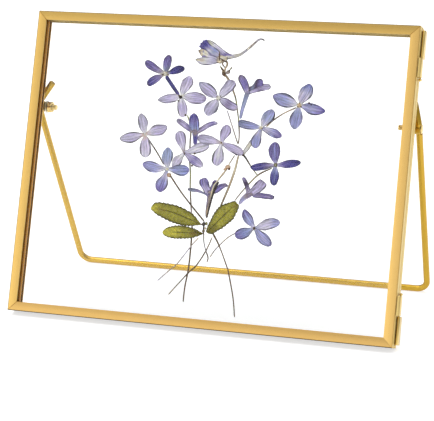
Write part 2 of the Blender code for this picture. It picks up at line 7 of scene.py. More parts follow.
from math import cos, hypot, pi, radians, sin, sqrt

import bmesh
import bpy
from mathutils import Matrix, Vector, noise


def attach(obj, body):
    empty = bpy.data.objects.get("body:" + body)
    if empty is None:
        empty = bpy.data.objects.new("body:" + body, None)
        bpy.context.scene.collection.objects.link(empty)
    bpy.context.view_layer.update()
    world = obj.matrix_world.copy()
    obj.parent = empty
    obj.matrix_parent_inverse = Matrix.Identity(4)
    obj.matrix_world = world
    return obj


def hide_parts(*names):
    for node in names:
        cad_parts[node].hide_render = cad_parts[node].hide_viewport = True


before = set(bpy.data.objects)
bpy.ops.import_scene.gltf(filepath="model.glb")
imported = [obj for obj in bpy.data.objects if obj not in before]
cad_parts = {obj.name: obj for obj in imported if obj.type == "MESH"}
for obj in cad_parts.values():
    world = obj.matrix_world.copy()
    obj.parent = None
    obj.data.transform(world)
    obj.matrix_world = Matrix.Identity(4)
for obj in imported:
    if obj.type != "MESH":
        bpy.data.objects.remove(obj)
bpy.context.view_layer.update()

MM = 0.001
LEAN_DEGREES = 20.5
# Where the upright frame's lower rear edge stands
EDGE_BACK, EDGE_UP = -40.6008, -0.1401
LEAN = (Matrix.Translation((0.0, EDGE_BACK * MM, EDGE_UP * MM))
        @ Matrix.Rotation(radians(-LEAN_DEGREES), 4, "X") @ Matrix.Scale(MM, 4))

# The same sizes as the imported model, in millimetres
WIDTH, HEIGHT, DEPTH = 205.0, 159.0, 9.5
FACE, SHEET, FOLD = 4.8, 0.6, 0.4
SEAM_Y, HEM = -4.6, 1.3
REAR_PANE, FRONT_PANE = (-3.0, -1.0), (-8.5, -6.5)
PANE_INSET = 1.0
MITRE_SHIFT = 0.03
HINGE_X, HINGE_Y = 103.6, -4.75
HINGE_LEAF, HINGE_REACH, HINGE_GAP, HINGE_END = 1.6, 3.9, 0.3, 1.6
HINGE_BORE, PIN, PIN_HEAD = 0.45, 0.35, 0.9
REAR_SECTION, FRONT_SECTION = 14.0, 9.6
PIVOT = Vector((103.1, 6.5, 109.7))
WIRE = 1.7
FOOT_X, FOOT_BACK = 100.4, 88.4
STUB_TIPS = {-1: Vector((-94.3, 1.1, 122.3)), 1: Vector((100.6, 2.0, 122.3))}
STUB_START, STUB_BEND, FOOT_BEND = 2.0, 3.0, 6.0
EYE_RADIUS, LUG_RADIUS, WASHER_RADIUS, FITTING_BORE = 2.7, 2.6, 3.3, 1.7
# Pivot fittings, as distances from the middle plane of the frame
EYE, LUG, WASHER, NUT = (100.2, 103.9), (98.9, 99.9), (98.0, 98.6), (95.3, 97.7)
SCREW_TIP, SCREW_SEAT = 92.9, 104.2

WHITE = (1.0, 1.0, 1.0, 1.0)


# ---------------------------------------------------------------- camera, floor and light

def make_camera():
    """The photograph's viewpoint, to the right of the middle and above the object."""
    azimuth, elevation, roll = 0.31725787, 0.26528619, -0.01299537
    forward = Vector((-sin(azimuth) * cos(elevation), cos(azimuth) * cos(elevation),
                      -sin(elevation)))
    level = Vector((cos(azimuth), sin(azimuth), 0.0))
    above = level.cross(forward)
    right = cos(roll) * level + sin(roll) * above
    up = cos(roll) * above - sin(roll) * level
    data = bpy.data.cameras.new("camera")
    data.sensor_width = 36.0
    data.lens = 135.86
    data.shift_x, data.shift_y = -0.0229, -0.0424
    camera = bpy.data.objects.new("camera", data)
    matrix = Matrix((right, up, -forward)).transposed().to_4x4()
    matrix.translation = (0.26014, -0.78320, 0.28551)
    camera.matrix_world = matrix
    bpy.context.scene.collection.objects.link(camera)
    bpy.context.scene.camera = camera


def set_inputs(tree, node, inputs):
    """A value for each named input, or a link where the value is another node's output."""
    for key, value in inputs.items():
        if isinstance(value, bpy.types.NodeSocket):
            tree.links.new(value, node.inputs[key])
        else:
            node.inputs[key].default_value = value


def add_node(tree, kind, inputs=None, **settings):
    """A shader node with its settings and inputs."""
    made = tree.nodes.new(kind)
    for key, value in settings.items():
        setattr(made, key, value)
    set_inputs(tree, made, inputs or {})
    return made


def combined(tree, operation, first, second=0.0):
    """The outcome of one operation on one or two values."""
    return add_node(tree, "ShaderNodeMath", {0: first, 1: second}, operation=operation).outputs[0]


def mapped(tree, value, low, high, start=0.0, end=1.0, **settings):
    """value moved from the range start to end into the range low to high."""
    return add_node(tree, "ShaderNodeMapRange", {
        "Value": value, "From Min": start, "From Max": end, "To Min": low, "To Max": high},
        **settings).outputs[0]


def clouds(tree, place, detail, **inputs):
    """Noise over place."""
    return add_node(tree, "ShaderNodeTexNoise",
                    {"Vector": place, "Detail": detail, **inputs}).outputs[0]


def mixed(tree, factor, first, second, **settings):
    """The colour at factor between first and second."""
    return add_node(tree, "ShaderNodeMix", {"Factor": factor, 6: first, 7: second},
                    data_type="RGBA", **settings).outputs[2]


def grey(tree, value):
    """The value as a shade of grey."""
    return add_node(tree, "ShaderNodeCombineColor", {0: value, 1: value, 2: value}).outputs[0]


def make_world():
    """A pale studio: light on the left, dim on the right and behind, an even ceiling above."""
    left_wall, middle, right_wall, rear_wall, ceiling = 1.72, 1.18, 0.46, 0.50, 1.5
    low_share, high_share = 1.18, 0.64     # of the walls in front, near the floor and higher up
    world = bpy.data.worlds.new("studio")
    bpy.context.scene.world = world
    world.use_nodes = True
    tree = world.node_tree
    tree.nodes.clear()
    direction = add_node(tree, "ShaderNodeTexCoord").outputs["Generated"]
    x, y, z = add_node(tree, "ShaderNodeSeparateXYZ", {0: direction}).outputs

    def blend(value, start, end, low=0.0, high=1.0):
        return mapped(tree, value, low, high, start, end, interpolation_type="SMOOTHSTEP")

    def over(factor, first, second):
        return add_node(tree, "ShaderNodeMix", {
            "Factor": factor, 2: first, 3: second}, data_type="FLOAT").outputs[0]

    left = blend(x, -0.85, -0.12, left_wall, middle)
    front = over(blend(x, -0.12, 0.3), left, right_wall)
    front = combined(tree, "MULTIPLY", front, blend(z, 0.30, 0.55, low_share, high_share))
    walls = over(blend(y, -0.1, 0.35), front, rear_wall)
    strength = over(blend(z, 0.58, 0.9), walls, ceiling)
    background = add_node(tree, "ShaderNodeBackground", {"Color": WHITE, "Strength": strength})
    add_node(tree, "ShaderNodeOutputWorld", {"Surface": background.outputs[0]})


def make_floor():
    """Plain pale paper that gives off some light of its own."""
    shape = bmesh.new()
    bmesh.ops.create_grid(shape, x_segments=8, y_segments=8, size=5.0)
    floor = object_from("floor", shape)
    paper, tree, shader = new_material("paper floor")
    grain = add_node(tree, "ShaderNodeTexNoise", {"Scale": 60.0, "Detail": 4.0}).outputs[0]
    set_inputs(tree, shader, {
        "Base Color": grey(tree, mapped(tree, grain, 0.54, 0.58)), "Roughness": 1.0,
        "Specular IOR Level": 0.0, "Emission Color": WHITE, "Emission Strength": 0.66})
    floor.data.materials.append(paper)


def make_light():
    """A round softbox, high on the left."""
    data = bpy.data.lights.new("softbox", "AREA")
    data.shape = "DISK"
    data.size = 1.4
    data.energy = 18.0
    light = bpy.data.objects.new("softbox", data)
    light.location = (-1.2, -0.6, 1.9)
    light.rotation_euler = (-light.location).to_track_quat("-Z", "Y").to_euler()
    bpy.context.scene.collection.objects.link(light)
    bpy.context.scene.view_settings.view_transform = "Standard"


# ---------------------------------------------------------------- materials

def new_material(name):
    """A material with its node tree and its shader."""
    made = bpy.data.materials.new(name)
    made.use_nodes = True
    return made, made.node_tree, made.node_tree.nodes["Principled BSDF"]


def upright_place(tree, scale):
    """The piece's own coordinates with the lean taken out, stretched by one scale or by three."""
    scales = scale if isinstance(scale, tuple) else (scale, scale, scale)
    place = add_node(tree, "ShaderNodeTexCoord").outputs["Object"]
    levelled = add_node(tree, "ShaderNodeMapping", {
        "Vector": place, "Rotation": (radians(LEAN_DEGREES), 0.0, 0.0)})
    return add_node(tree, "ShaderNodeMapping", {
        "Vector": levelled.outputs[0], "Scale": scales}).outputs[0]


def bumped(tree, shader, height, distance, strength):
    """Bumps on the shader's surface, distance in millimetres."""
    bump = add_node(tree, "ShaderNodeBump", {
        "Height": height, "Distance": distance * MM, "Strength": strength})
    tree.links.new(bump.outputs[0], shader.inputs["Normal"])


def brass(name, colour, dull, grain, roughness=(0.22, 0.36), metal=1.0, specks=0.55):
    """Lacquered brass sheet: fine drawing lines along the grain, cloudy tone, a few dull specks."""
    made, tree, shader = new_material(name)
    lines = clouds(tree, upright_place(tree, grain), 5.0, Scale=1.0, Roughness=0.7)
    cloud = clouds(tree, upright_place(tree, 60.0), 3.0)
    speck = add_node(tree, "ShaderNodeTexVoronoi", {"Vector": upright_place(tree, 420.0)})
    worn = mapped(tree, speck.outputs["Distance"], specks, 0.0, 0.03, 0.16)
    tone = mixed(tree, mapped(tree, cloud, 0.05, 0.75), (*colour, 1.0), (*dull, 1.0))
    tone = mixed(tree, mapped(tree, lines, 0.0, 0.5), tone, (*[0.8 * c for c in dull], 1.0))
    tone = mixed(tree, worn, tone, (*[0.55 * c for c in dull], 1.0))
    set_inputs(tree, shader, {
        "Base Color": tone, "Roughness": mapped(tree, lines, *roughness), "Metallic": metal,
        "Specular IOR Level": 0.5 * metal})
    bumped(tree, shader, lines, 0.02, 0.35)
    return made


def clear_glass():
    """Faintly green sheet glass whose reflections are weakened, as a coating weakens them."""
    made, tree, shader = new_material("clear glass")
    set_inputs(tree, shader, {
        "Base Color": WHITE, "Roughness": 0.0, "IOR": 1.5, "Transmission Weight": 1.0,
        "Specular Tint": (0.25, 0.25, 0.25, 1.0)})
    bumped(tree, shader, clouds(tree, upright_place(tree, 22.0), 1.0), 0.01, 0.5)
    absorption = add_node(tree, "ShaderNodeVolumeAbsorption", {
        "Color": (0.45, 0.86, 0.72, 1.0), "Density": 4.0})
    tree.links.new(absorption.outputs[0], tree.nodes["Material Output"].inputs["Volume"])
    return made


def plant_place(tree, *scale):
    """(across, along, own number) of a point on a dried plant, as its mesh holds them."""
    place = add_node(tree, "ShaderNodeAttribute", attribute_name="place").outputs["Vector"]
    if not scale:
        return place
    return add_node(tree, "ShaderNodeMapping", {"Vector": place, "Scale": scale}).outputs[0]


def tinted(tree, shader, factors):
    """The mesh's own tint, multiplied by each factor."""
    tone = add_node(tree, "ShaderNodeAttribute", attribute_name="tint").outputs["Color"]
    for factor in factors:
        tone = mixed(tree, 1.0, tone, grey(tree, factor), blend_type="MULTIPLY")
    tree.links.new(tone, shader.inputs["Base Color"])


def petal_material(name, vein_depth, roughness):
    """A dried petal: uneven lengthwise veins from its root to its tip, over a mottled skin."""
    made, tree, shader = new_material(name)
    veins = clouds(tree, plant_place(tree, 1.7, 0.13, 1.0), 3.0,
                   Scale=1.0, Roughness=0.6, Distortion=0.4)
    creases = add_node(tree, "ShaderNodeTexWave", {
        "Vector": plant_place(tree, 1.0, 0.25, 1.0), "Scale": 0.21, "Distortion": 4.0,
        "Detail": 3.0, "Detail Scale": 1.6}, wave_type="BANDS", bands_direction="X").outputs["Fac"]
    fibres = clouds(tree, plant_place(tree, 14.0, 2.2, 1.0), 4.0, Scale=1.0, Roughness=0.65)
    mottle = clouds(tree, upright_place(tree, 420.0), 4.0)
    tinted(tree, shader, [
        mapped(tree, veins, 1.0 - vein_depth, 1.06, 0.34, 0.56),
        mapped(tree, creases, 1.0 - 0.4 * vein_depth, 1.06),
        mapped(tree, fibres, 0.82, 1.16), mapped(tree, mottle, 0.78, 1.22)])
    set_inputs(tree, shader, {
        "Roughness": mapped(tree, fibres, *roughness), "Sheen Weight": 0.08,
        "Sheen Roughness": 0.5, "Specular IOR Level": 0.18})
    ridges = combined(tree, "ADD", veins, mapped(tree, mottle, 0.0, 0.7))
    bumped(tree, shader, combined(tree, "ADD", creases, ridges), 0.06, 0.6)
    return made


def leaf_material():
    """A dried leaf: side veins that run forward from the midrib, and a freckled skin."""
    made, tree, shader = new_material("dried leaf")
    across, along, _ = add_node(tree, "ShaderNodeSeparateXYZ", {0: plant_place(tree)}).outputs
    off_midrib = combined(tree, "ABSOLUTE", across)
    slant = combined(tree, "SUBTRACT", combined(tree, "MULTIPLY", along, 2.6),
                     combined(tree, "MULTIPLY", off_midrib, 0.5))
    place = add_node(tree, "ShaderNodeCombineXYZ", {0: slant, 1: off_midrib}).outputs[0]
    veins = add_node(tree, "ShaderNodeTexWave", {
        "Vector": place, "Scale": 1.5, "Distortion": 1.4, "Detail": 3.0},
        bands_direction="X").outputs["Fac"]
    freckles = clouds(tree, upright_place(tree, 900.0), 5.0, Roughness=0.7)
    patches = clouds(tree, upright_place(tree, 230.0), 3.0)
    tinted(tree, shader, [mapped(tree, veins, 0.88, 1.06), mapped(tree, freckles, 0.88, 1.12),
                          mapped(tree, patches, 0.68, 1.3)])
    set_inputs(tree, shader, {
        "Roughness": mapped(tree, freckles, 0.5, 0.8), "Specular IOR Level": 0.03})
    ridges = combined(tree, "ADD", veins, mapped(tree, freckles, 0.0, 0.8))
    bumped(tree, shader, ridges, 0.06, 0.7)
    return made


def stem_material():
    """A dried stem: long fibres and darker flecks."""
    made, tree, shader = new_material("dried stem")
    fibres = clouds(tree, plant_place(tree, 5.0, 1.1, 3.0), 5.0, Scale=1.0, Roughness=0.7)
    flecks = clouds(tree, upright_place(tree, (1500.0, 1500.0, 700.0)), 3.0)
    tinted(tree, shader, [mapped(tree, fibres, 0.65, 1.3), mapped(tree, flecks, 0.75, 1.2)])
    set_inputs(tree, shader, {
        "Roughness": mapped(tree, flecks, 0.55, 0.85), "Specular IOR Level": 0.15})
    bumped(tree, shader, fibres, 0.08, 0.8)
    return made


# ---------------------------------------------------------------- putting pieces in place

def object_from(name, shape):
    """The bmesh as an object in the scene."""
    mesh = bpy.data.meshes.new(name)
    shape.to_mesh(mesh)
    shape.free()
    made = bpy.data.objects.new(name, mesh)
    bpy.context.scene.collection.objects.link(made)
    return made


def finish_piece(name, shape, body, materials, crease):
    """The bmesh, in upright millimetres, as a leaning piece that replaces the node of its name."""
    materials = materials if isinstance(materials, tuple) else (materials,)
    bmesh.ops.recalc_face_normals(shape, faces=shape.faces)
    piece = object_from(f"look_{name}", shape)
    mesh = piece.data
    mesh.transform(LEAN)
    for material in materials:
        mesh.materials.append(material)
    mesh.polygons.foreach_set("use_smooth", [True] * len(mesh.polygons))
    mesh.set_sharp_from_angle(angle=radians(crease))
    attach(piece, body)
    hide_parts(name)
    return piece


def arc(centre, radius, start, end, steps):
    """Points along an arc, from start to end in degrees."""
    angles = [radians(start + (end - start) * k / steps) for k in range(steps + 1)]
    return [(centre[0] + radius * cos(a), centre[1] + radius * sin(a)) for a in angles]


def circle(x, y, radius, sides):
    """Points of a closed ring."""
    angles = [2 * pi * k / sides for k in range(sides)]
    return [(x + radius * cos(a), y + radius * sin(a)) for a in angles]


def band(shape, lower, upper):
    """Faces between two closed rings of vertices."""
    count = len(lower)
    for k in range(count):
        shape.faces.new((lower[k], lower[(k + 1) % count], upper[(k + 1) % count], upper[k]))


def loft(shape, rings):
    """Faces between successive closed rings of points, with a face over each end."""
    levels = [[shape.verts.new(point) for point in ring] for ring in rings]
    for lower, upper in zip(levels, levels[1:]):
        band(shape, lower, upper)
    shape.faces.new(levels[0])
    shape.faces.new(levels[-1])


def hoop(shape, rings):
    """Faces round a closed row of closed rings of points, as on a washer."""
    levels = [[shape.verts.new(point) for point in ring] for ring in rings]
    for k, level in enumerate(levels):
        band(shape, level, levels[(k + 1) % len(levels)])


def drilled_plate(outline, bore, levels, middle_of, place):
    """A drilled plate. levels are (height, how far the edge is drawn in towards the middle)."""
    shape = bmesh.new()

    def ring(points, height, inward):
        made = []
        for point in points:
            step = (Vector(middle_of(point)) - Vector(point)).normalized() * inward
            made.append(shape.verts.new(place(point[0] + step.x, point[1] + step.y, height)))
        return made

    outside = [ring(outline, height, inward) for height, inward in levels]
    inside = [ring(bore, height, 0.0) for height, _ in (levels[0], levels[-1])]
    for rings in (outside, inside):
        for lower, upper in zip(rings, rings[1:]):
            band(shape, lower, upper)
    for outer, inner in ((outside[0], inside[0]), (outside[-1], inside[-1])):
        edges = [shape.edges.get((ring[k], ring[(k + 1) % len(ring)]))
                 for ring in (outer, inner) for k in range(len(ring))]
        bmesh.ops.triangle_fill(shape, use_beauty=True, edges=edges)
    return shape


# ---------------------------------------------------------------- frame, panes and hinges

def rear_section():
    """A rear strip's section: (distance from the outer edge, depth, look of the face after it)."""
    tip, lip = 0.12, SHEET
    hem_x, hem_y = FACE - HEM / 2, SEAM_Y + HEM / 2
    parts = [
        (arc((FOLD, -FOLD), FOLD, 180, 90, 6), "fold", "face"),
        (arc((FACE - tip, -tip), tip, 90, 0, 3), "face", "face"),
        (arc((FACE - tip, tip - lip), tip, 0, -90, 3)[1:], "face", "inside"),
        (arc((SHEET + tip, -lip - tip), tip, 90, 180, 3), "inside", "inside"),
        (arc((SHEET + tip, hem_y + HEM / 2 + tip), tip, 180, 270, 3), "inside", "inside"),
        (arc((hem_x, hem_y), HEM / 2, 90, -90, 12), "hem", "hem"),
        (arc((FOLD, SEAM_Y + FOLD), FOLD, 270, 180, 6), "fold", "wall")]
    return [(*point, look if k < len(points) - 1 else last)
            for points, look, last in parts for k, point in enumerate(points)]


# Along a strip's end: how far back from the mitre, and how far the face sinks there
MITRE_EASE = ((0.0, 0.16), (0.07, 0.07), (0.2, 0.0), (0.6, 0.0))
# The two ends that meet at the lower right corner, which is crisper, and their share of it
CRISP_ENDS, CRISP_SHARE = (("bottom", 1), ("right", -1)), 0.2


def strip(half, side, materials):
    """One channel strip with mitred ends, whose edges are eased a little where they meet."""
    length, to_centre, angle = {
        "bottom": (WIDTH, HEIGHT / 2, 0.0), "left": (HEIGHT, WIDTH / 2, pi / 2),
        "top": (WIDTH, HEIGHT / 2, pi), "right": (HEIGHT, WIDTH / 2, -pi / 2)}[side]
    section = rear_section()
    if half == "front":
        section = [(across, -DEPTH - depth, look) for across, depth, look in section]
    seam = SEAM_Y if half == "rear" else -DEPTH - SEAM_Y
    steps, face_depth = 24, 0.7
    stops = [(-1, shift, ease) for shift, ease in MITRE_EASE]
    stops += [(2 * k / steps - 1, 0.0, 0.0) for k in range(1, steps)]
    stops += [(1, shift, ease) for shift, ease in reversed(MITRE_EASE)]
    rings = []
    for t, shift, ease in stops:
        if (side, t) in CRISP_ENDS:
            ease *= CRISP_SHARE
        ring = []
        for across, depth, _ in section:
            on_face = abs(depth) < face_depth or abs(depth + DEPTH) < face_depth
            sink = ease if on_face else 0.0
            along = (length / 2 - across - MITRE_SHIFT) * t - shift * t
            ring.append((along, depth + (sink if depth < seam else -sink), across - to_centre))
        rings.append(ring)
    shape = bmesh.new()
    loft(shape, rings)
    shape.faces.ensure_lookup_table()
    # Places in materials: 0 face, 1 inside (painted shade), 2 hem (painted bounced light), 3 fold (painted
    # shade), 4 underneath (painted shade), 5 side (painted reflection), 6 shaded lip
    looks = {"face": 0, "inside": 1, "hem": 2, "fold": 3, "wall": 0}
    # The lower strips' fold and outer wall take the painted shade underneath
    if side == "bottom":
        looks.update(fold=4, wall=4)
    elif side == "top":
        looks.update(hem=6, inside=6)
    # The right strips' outer wall takes the painted reflection
    elif side == "right":
        looks.update(fold=0, wall=5)
    # On the front half of the left side the hem takes the inside's painted shade
    elif half == "front":
        looks.update(hem=1)
    for k in range((len(rings) - 1) * len(section)):
        shape.faces[k].material_index = looks[section[k % len(section)][2]]
    turn = Matrix.Translation((0.0, 0.0, HEIGHT / 2)) @ Matrix.Rotation(angle, 4, "Y")
    bmesh.ops.transform(shape, matrix=turn, verts=shape.verts)
    finish_piece(f"{half}_strip_{side}", shape, f"{half}_half", materials, 28.0)


def pane(name, body, depths, material):
    """A cut sheet of glass with ground edges."""
    ground = 0.2
    shape = bmesh.new()
    bmesh.ops.create_cube(shape, size=1.0)
    size = (WIDTH - 2 * PANE_INSET, depths[1] - depths[0], HEIGHT - 2 * PANE_INSET)
    bmesh.ops.scale(shape, vec=size, verts=shape.verts)
    bmesh.ops.translate(shape, vec=(0.0, sum(depths) / 2, HEIGHT / 2), verts=shape.verts)
    bmesh.ops.bevel(shape, geom=shape.edges[:], offset=ground, segments=2, affect="EDGES")
    finish_piece(name, shape, body, material, 20.0)


def hinge_leaf(name, body, bottom, height, reach, material):
    """A hinge section: a flat leaf along the side whose rolled nose takes the pin."""
    half, corner, edge = HINGE_LEAF / 2, 0.25, 0.15
    direction = 1 if reach > 0 else -1
    near, far, top = HINGE_Y, HINGE_Y + reach, bottom + height
    round_off = corner * direction
    outline = [*arc((HINGE_X, HINGE_Y), half, 0, -180 * direction, 18),
               (HINGE_X - half, far), (HINGE_X + half - corner, far),
               (HINGE_X + half - 0.07, far - round_off * 0.3), (HINGE_X + half, far - round_off)]

    def middle_line(point):
        """The nearest point of the line from the pin to the leaf's far edge."""
        return HINGE_X, min(max(point[1], min(near, far)), max(near, far))

    levels = ((bottom, edge), (bottom + edge * 0.3, edge * 0.3), (bottom + edge, 0.0),
              (top - edge, 0.0), (top - edge * 0.3, edge * 0.3), (top, edge))
    shape = drilled_plate(outline, circle(HINGE_X, HINGE_Y, HINGE_BORE, 18), levels, middle_line,
                          lambda x, y, z: (x, y, z))
    finish_piece(name, shape, body, material, 30.0)


def revolve_z(shape, x, y, profile, sides):
    """A turned solid about an upright axis, from (radius, z) pairs that start and end on it."""
    rings = [[shape.verts.new((*point, z)) for point in circle(x, y, r, sides)]
             for r, z in profile[1:-1]]
    for lower, upper in zip(rings, rings[1:]):
        band(shape, lower, upper)
    for (_, z), ring in ((profile[0], rings[0]), (profile[-1], rings[-1])):
        pole = shape.verts.new((x, y, z))
        for k in range(sides):
            shape.faces.new((pole, ring[k], ring[(k + 1) % sides]))


def hinge_pin(name, outer_end, inner_end, material):
    """A drawn pin with a rounded tail and a ball head at its inner end."""
    sign = 1 if inner_end > outer_end else -1
    head_height = 1.35
    profile = [(0.0, outer_end), (0.22, outer_end), (0.32, outer_end + 0.06 * sign),
               (PIN, outer_end + 0.16 * sign), (PIN, inner_end),
               (0.52, inner_end + 0.03 * sign), (0.7, inner_end + 0.16 * sign)]
    for angle in (radians(degrees) for degrees in (110, 90, 70, 50, 32, 16)):
        profile.append((PIN_HEAD * sin(angle),
                        inner_end + sign * head_height * (1 + cos(angle)) / 2))
    profile.append((0.0, inner_end + sign * head_height))
    shape = bmesh.new()
    revolve_z(shape, HINGE_X, HINGE_Y, profile, 28)
    finish_piece(name, shape, "rear_half", material, 40.0)


def hinges(material):
    """At the top and the bottom: a long leaf on the rear half, a short one on the front, a pin."""
    for place in ("top", "bottom"):
        if place == "top":
            rear_bottom = HEIGHT - HINGE_END - REAR_SECTION
            front_bottom = rear_bottom - HINGE_GAP - FRONT_SECTION
            ends = (HEIGHT - HINGE_END, front_bottom - HINGE_GAP)
        else:
            rear_bottom = HINGE_END
            front_bottom = rear_bottom + REAR_SECTION + HINGE_GAP
            ends = (HINGE_END, front_bottom + FRONT_SECTION + HINGE_GAP)
        hinge_leaf(f"hinge_{place}_rear_leaf", "rear_half", rear_bottom, REAR_SECTION,
                   HINGE_REACH, material)
        hinge_leaf(f"hinge_{place}_front_leaf", "front_half", front_bottom, FRONT_SECTION,
                   -HINGE_REACH, material)
        hinge_pin(f"hinge_{place}_pin", *ends, material)


# ---------------------------------------------------------------- stand and pivot fittings

def rounded_path(corners, bends, steps=14):
    """The path through the corners, with an arc of its own radius at each inner corner."""
    path = [corners[0]]
    for before, corner, after, bend in zip(corners, corners[1:], corners[2:], bends):
        to_before = (before - corner).normalized()
        to_after = (after - corner).normalized()
        half_angle = to_before.angle(to_after) / 2
        tangent = bend / abs(sin(half_angle) / cos(half_angle))
        centre = corner + (to_before + to_after).normalized() * (bend / sin(half_angle))
        start = corner + to_before * tangent - centre
        turn = start.cross(to_after).normalized()
        for k in range(steps + 1):
            sweep = (pi - 2 * half_angle) * k / steps
            path.append(centre + Matrix.Rotation(sweep, 3, turn) @ start)
    path.append(corners[-1])
    return path


def wire_shape(path, radius, sides):
    """A round wire along the path, its cut ends a little rounded."""
    start_cut = ((0.0, 0.72), (0.12, 0.92), (0.35, 1.0))
    end_cut = [(-shift, scale) for shift, scale in reversed(start_cut)]
    shape = bmesh.new()
    rings = []
    across = None
    for k, point in enumerate(path):
        ahead = path[min(k + 1, len(path) - 1)] - path[max(k - 1, 0)]
        ahead.normalize()
        if across is None:
            across = ahead.orthogonal().normalized()
        across = (across - ahead * across.dot(ahead)).normalized()
        other = ahead.cross(across)
        cut = start_cut if k == 0 else end_cut if k == len(path) - 1 else ((0.0, 1.0),)
        for shift, scale in cut:
            rings.append([point + ahead * shift + radius * scale
                          * (across * cos(2 * pi * n / sides) + other * sin(2 * pi * n / sides))
                          for n in range(sides)])
    loft(shape, rings)
    bmesh.ops.recalc_face_normals(shape, faces=shape.faces)
    return shape


def turned(side, profile, sides):
    """Rings of points about the stand's axis, from (distance from the middle plane, radius)."""
    return [[(side * x, *point) for point in circle(PIVOT.y, PIVOT.z, radius, sides)]
            for x, radius in profile]


def cutter(name, side, profile, sides):
    """A turned helper solid about the stand's axis, for the wire's eyes and their holes."""
    shape = bmesh.new()
    loft(shape, turned(side, profile, sides))
    bmesh.ops.recalc_face_normals(shape, faces=shape.faces)
    return object_from(name, shape)


def stand(material):
    """The bent wire with a drilled eye on each arm and a short stub above each eye."""
    foot = LEAN.inverted() @ Vector((0.0, (FOOT_BACK + EDGE_BACK) * MM, WIRE * MM))
    arms = []
    for side, tip in STUB_TIPS.items():
        pivot = Vector((side * PIVOT.x, PIVOT.y, PIVOT.z))
        foot_corner = Vector((side * FOOT_X, foot.y, foot.z))
        bend = pivot + (pivot - foot_corner).normalized() * STUB_START
        arms.append([tip, bend, foot_corner])
    path = rounded_path([*arms[0], *reversed(arms[1])],
                        [STUB_BEND, FOOT_BEND, FOOT_BEND, STUB_BEND])
    wire = object_from("wire", wire_shape(path, WIRE, 28))
    helpers = []
    (start, end), seat_radius, seat_depth, spare = EYE, 3.1, 3.0, 1.0
    for side in STUB_TIPS:
        eye = cutter("eye", side, ((start, 2.45), (start + 0.25, EYE_RADIUS),
                                   (end - 0.2, EYE_RADIUS), (end, 2.5)), 40)
        seat = cutter("seat", side, ((end, seat_radius), (end + seat_depth, seat_radius)), 40)
        bore = cutter("bore", side, ((start - spare, FITTING_BORE), (end + spare, FITTING_BORE)), 32)
        for tool, operation in ((eye, "UNION"), (seat, "DIFFERENCE"), (bore, "DIFFERENCE")):
            modifier = wire.modifiers.new(operation.lower(), "BOOLEAN")
            modifier.operation = operation
            modifier.object = tool
            modifier.solver = "EXACT"
            helpers.append(tool)
    bpy.context.view_layer.update()
    joined = bpy.data.meshes.new_from_object(
        wire.evaluated_get(bpy.context.evaluated_depsgraph_get()))
    for helper in [*helpers, wire]:
        bpy.data.objects.remove(helper, do_unlink=True)
    shape = bmesh.new()
    shape.from_mesh(joined)
    finish_piece("stand_wire", shape, "stand", material, 32.0)


def lug(side, label, material):
    """An ear of folded sheet on the strip's back, drilled for the screw."""
    (start, end), (y, z), root, edge = LUG, PIVOT.yz, 0.3, 0.12
    outline = [*arc((y, z), LUG_RADIUS, -90, 90, 18), (root, z + LUG_RADIUS), (root, z - LUG_RADIUS)]
    levels = ((start, edge), (start + edge, 0.0), (end - edge, 0.0), (end, edge))
    shape = drilled_plate(outline, circle(y, z, FITTING_BORE, 24), levels,
                          lambda point: ((y + root) / 2, z),
                          lambda back, up, out: (side * out, back, up))
    finish_piece(f"lug_{label}", shape, "rear_half", material, 30.0)


def washer(side, label, material):
    """A flat ring with a stamped, rounded rim."""
    (start, end), rim = WASHER, WASHER_RADIUS
    profile = ((start, FITTING_BORE), (start, rim - 0.15), (start + 0.08, rim - 0.03),
               (start + 0.2, rim), (end - 0.15, rim), (end - 0.04, rim - 0.06),
               (end, rim - 0.2), (end, FITTING_BORE))
    shape = bmesh.new()
    hoop(shape, zip(*turned(side, profile, 48)))
    finish_piece(f"washer_{label}", shape, "rear_half", material, 35.0)


def nut(side, label, material):
    """A hexagon nut with chamfered corners and a countersunk hole."""
    flats, turn, sides, countersink = 5.5 / 2, 0.2, 72, 0.15
    chamfer_from, slope = 3.02, 0.6
    start, end = NUT
    half = ((countersink, FITTING_BORE), (0.0, FITTING_BORE + countersink), (0.0, 2.2), (0.02, 2.6),
            (0.32, flats))
    profile = [(start + depth, radius) for depth, radius in half]
    profile += [(end - depth, radius) for depth, radius in reversed(half)]
    rings = []
    for angle in (2 * pi * k / sides for k in range(sides)):
        across_corner = flats / cos((angle - turn) % (pi / 3) - pi / 6)
        ring = []
        for x, radius in profile:
            if radius == flats:
                radius = across_corner
                shift = min(0.0, chamfer_from - radius) * slope
                x = x - shift if x < (start + end) / 2 else x + shift
            ring.append((side * x, PIVOT.y + radius * cos(angle), PIVOT.z + radius * sin(angle)))
        rings.append(ring)
    shape = bmesh.new()
    hoop(shape, rings)
    finish_piece(f"nut_{label}", shape, "rear_half", material, 30.0)


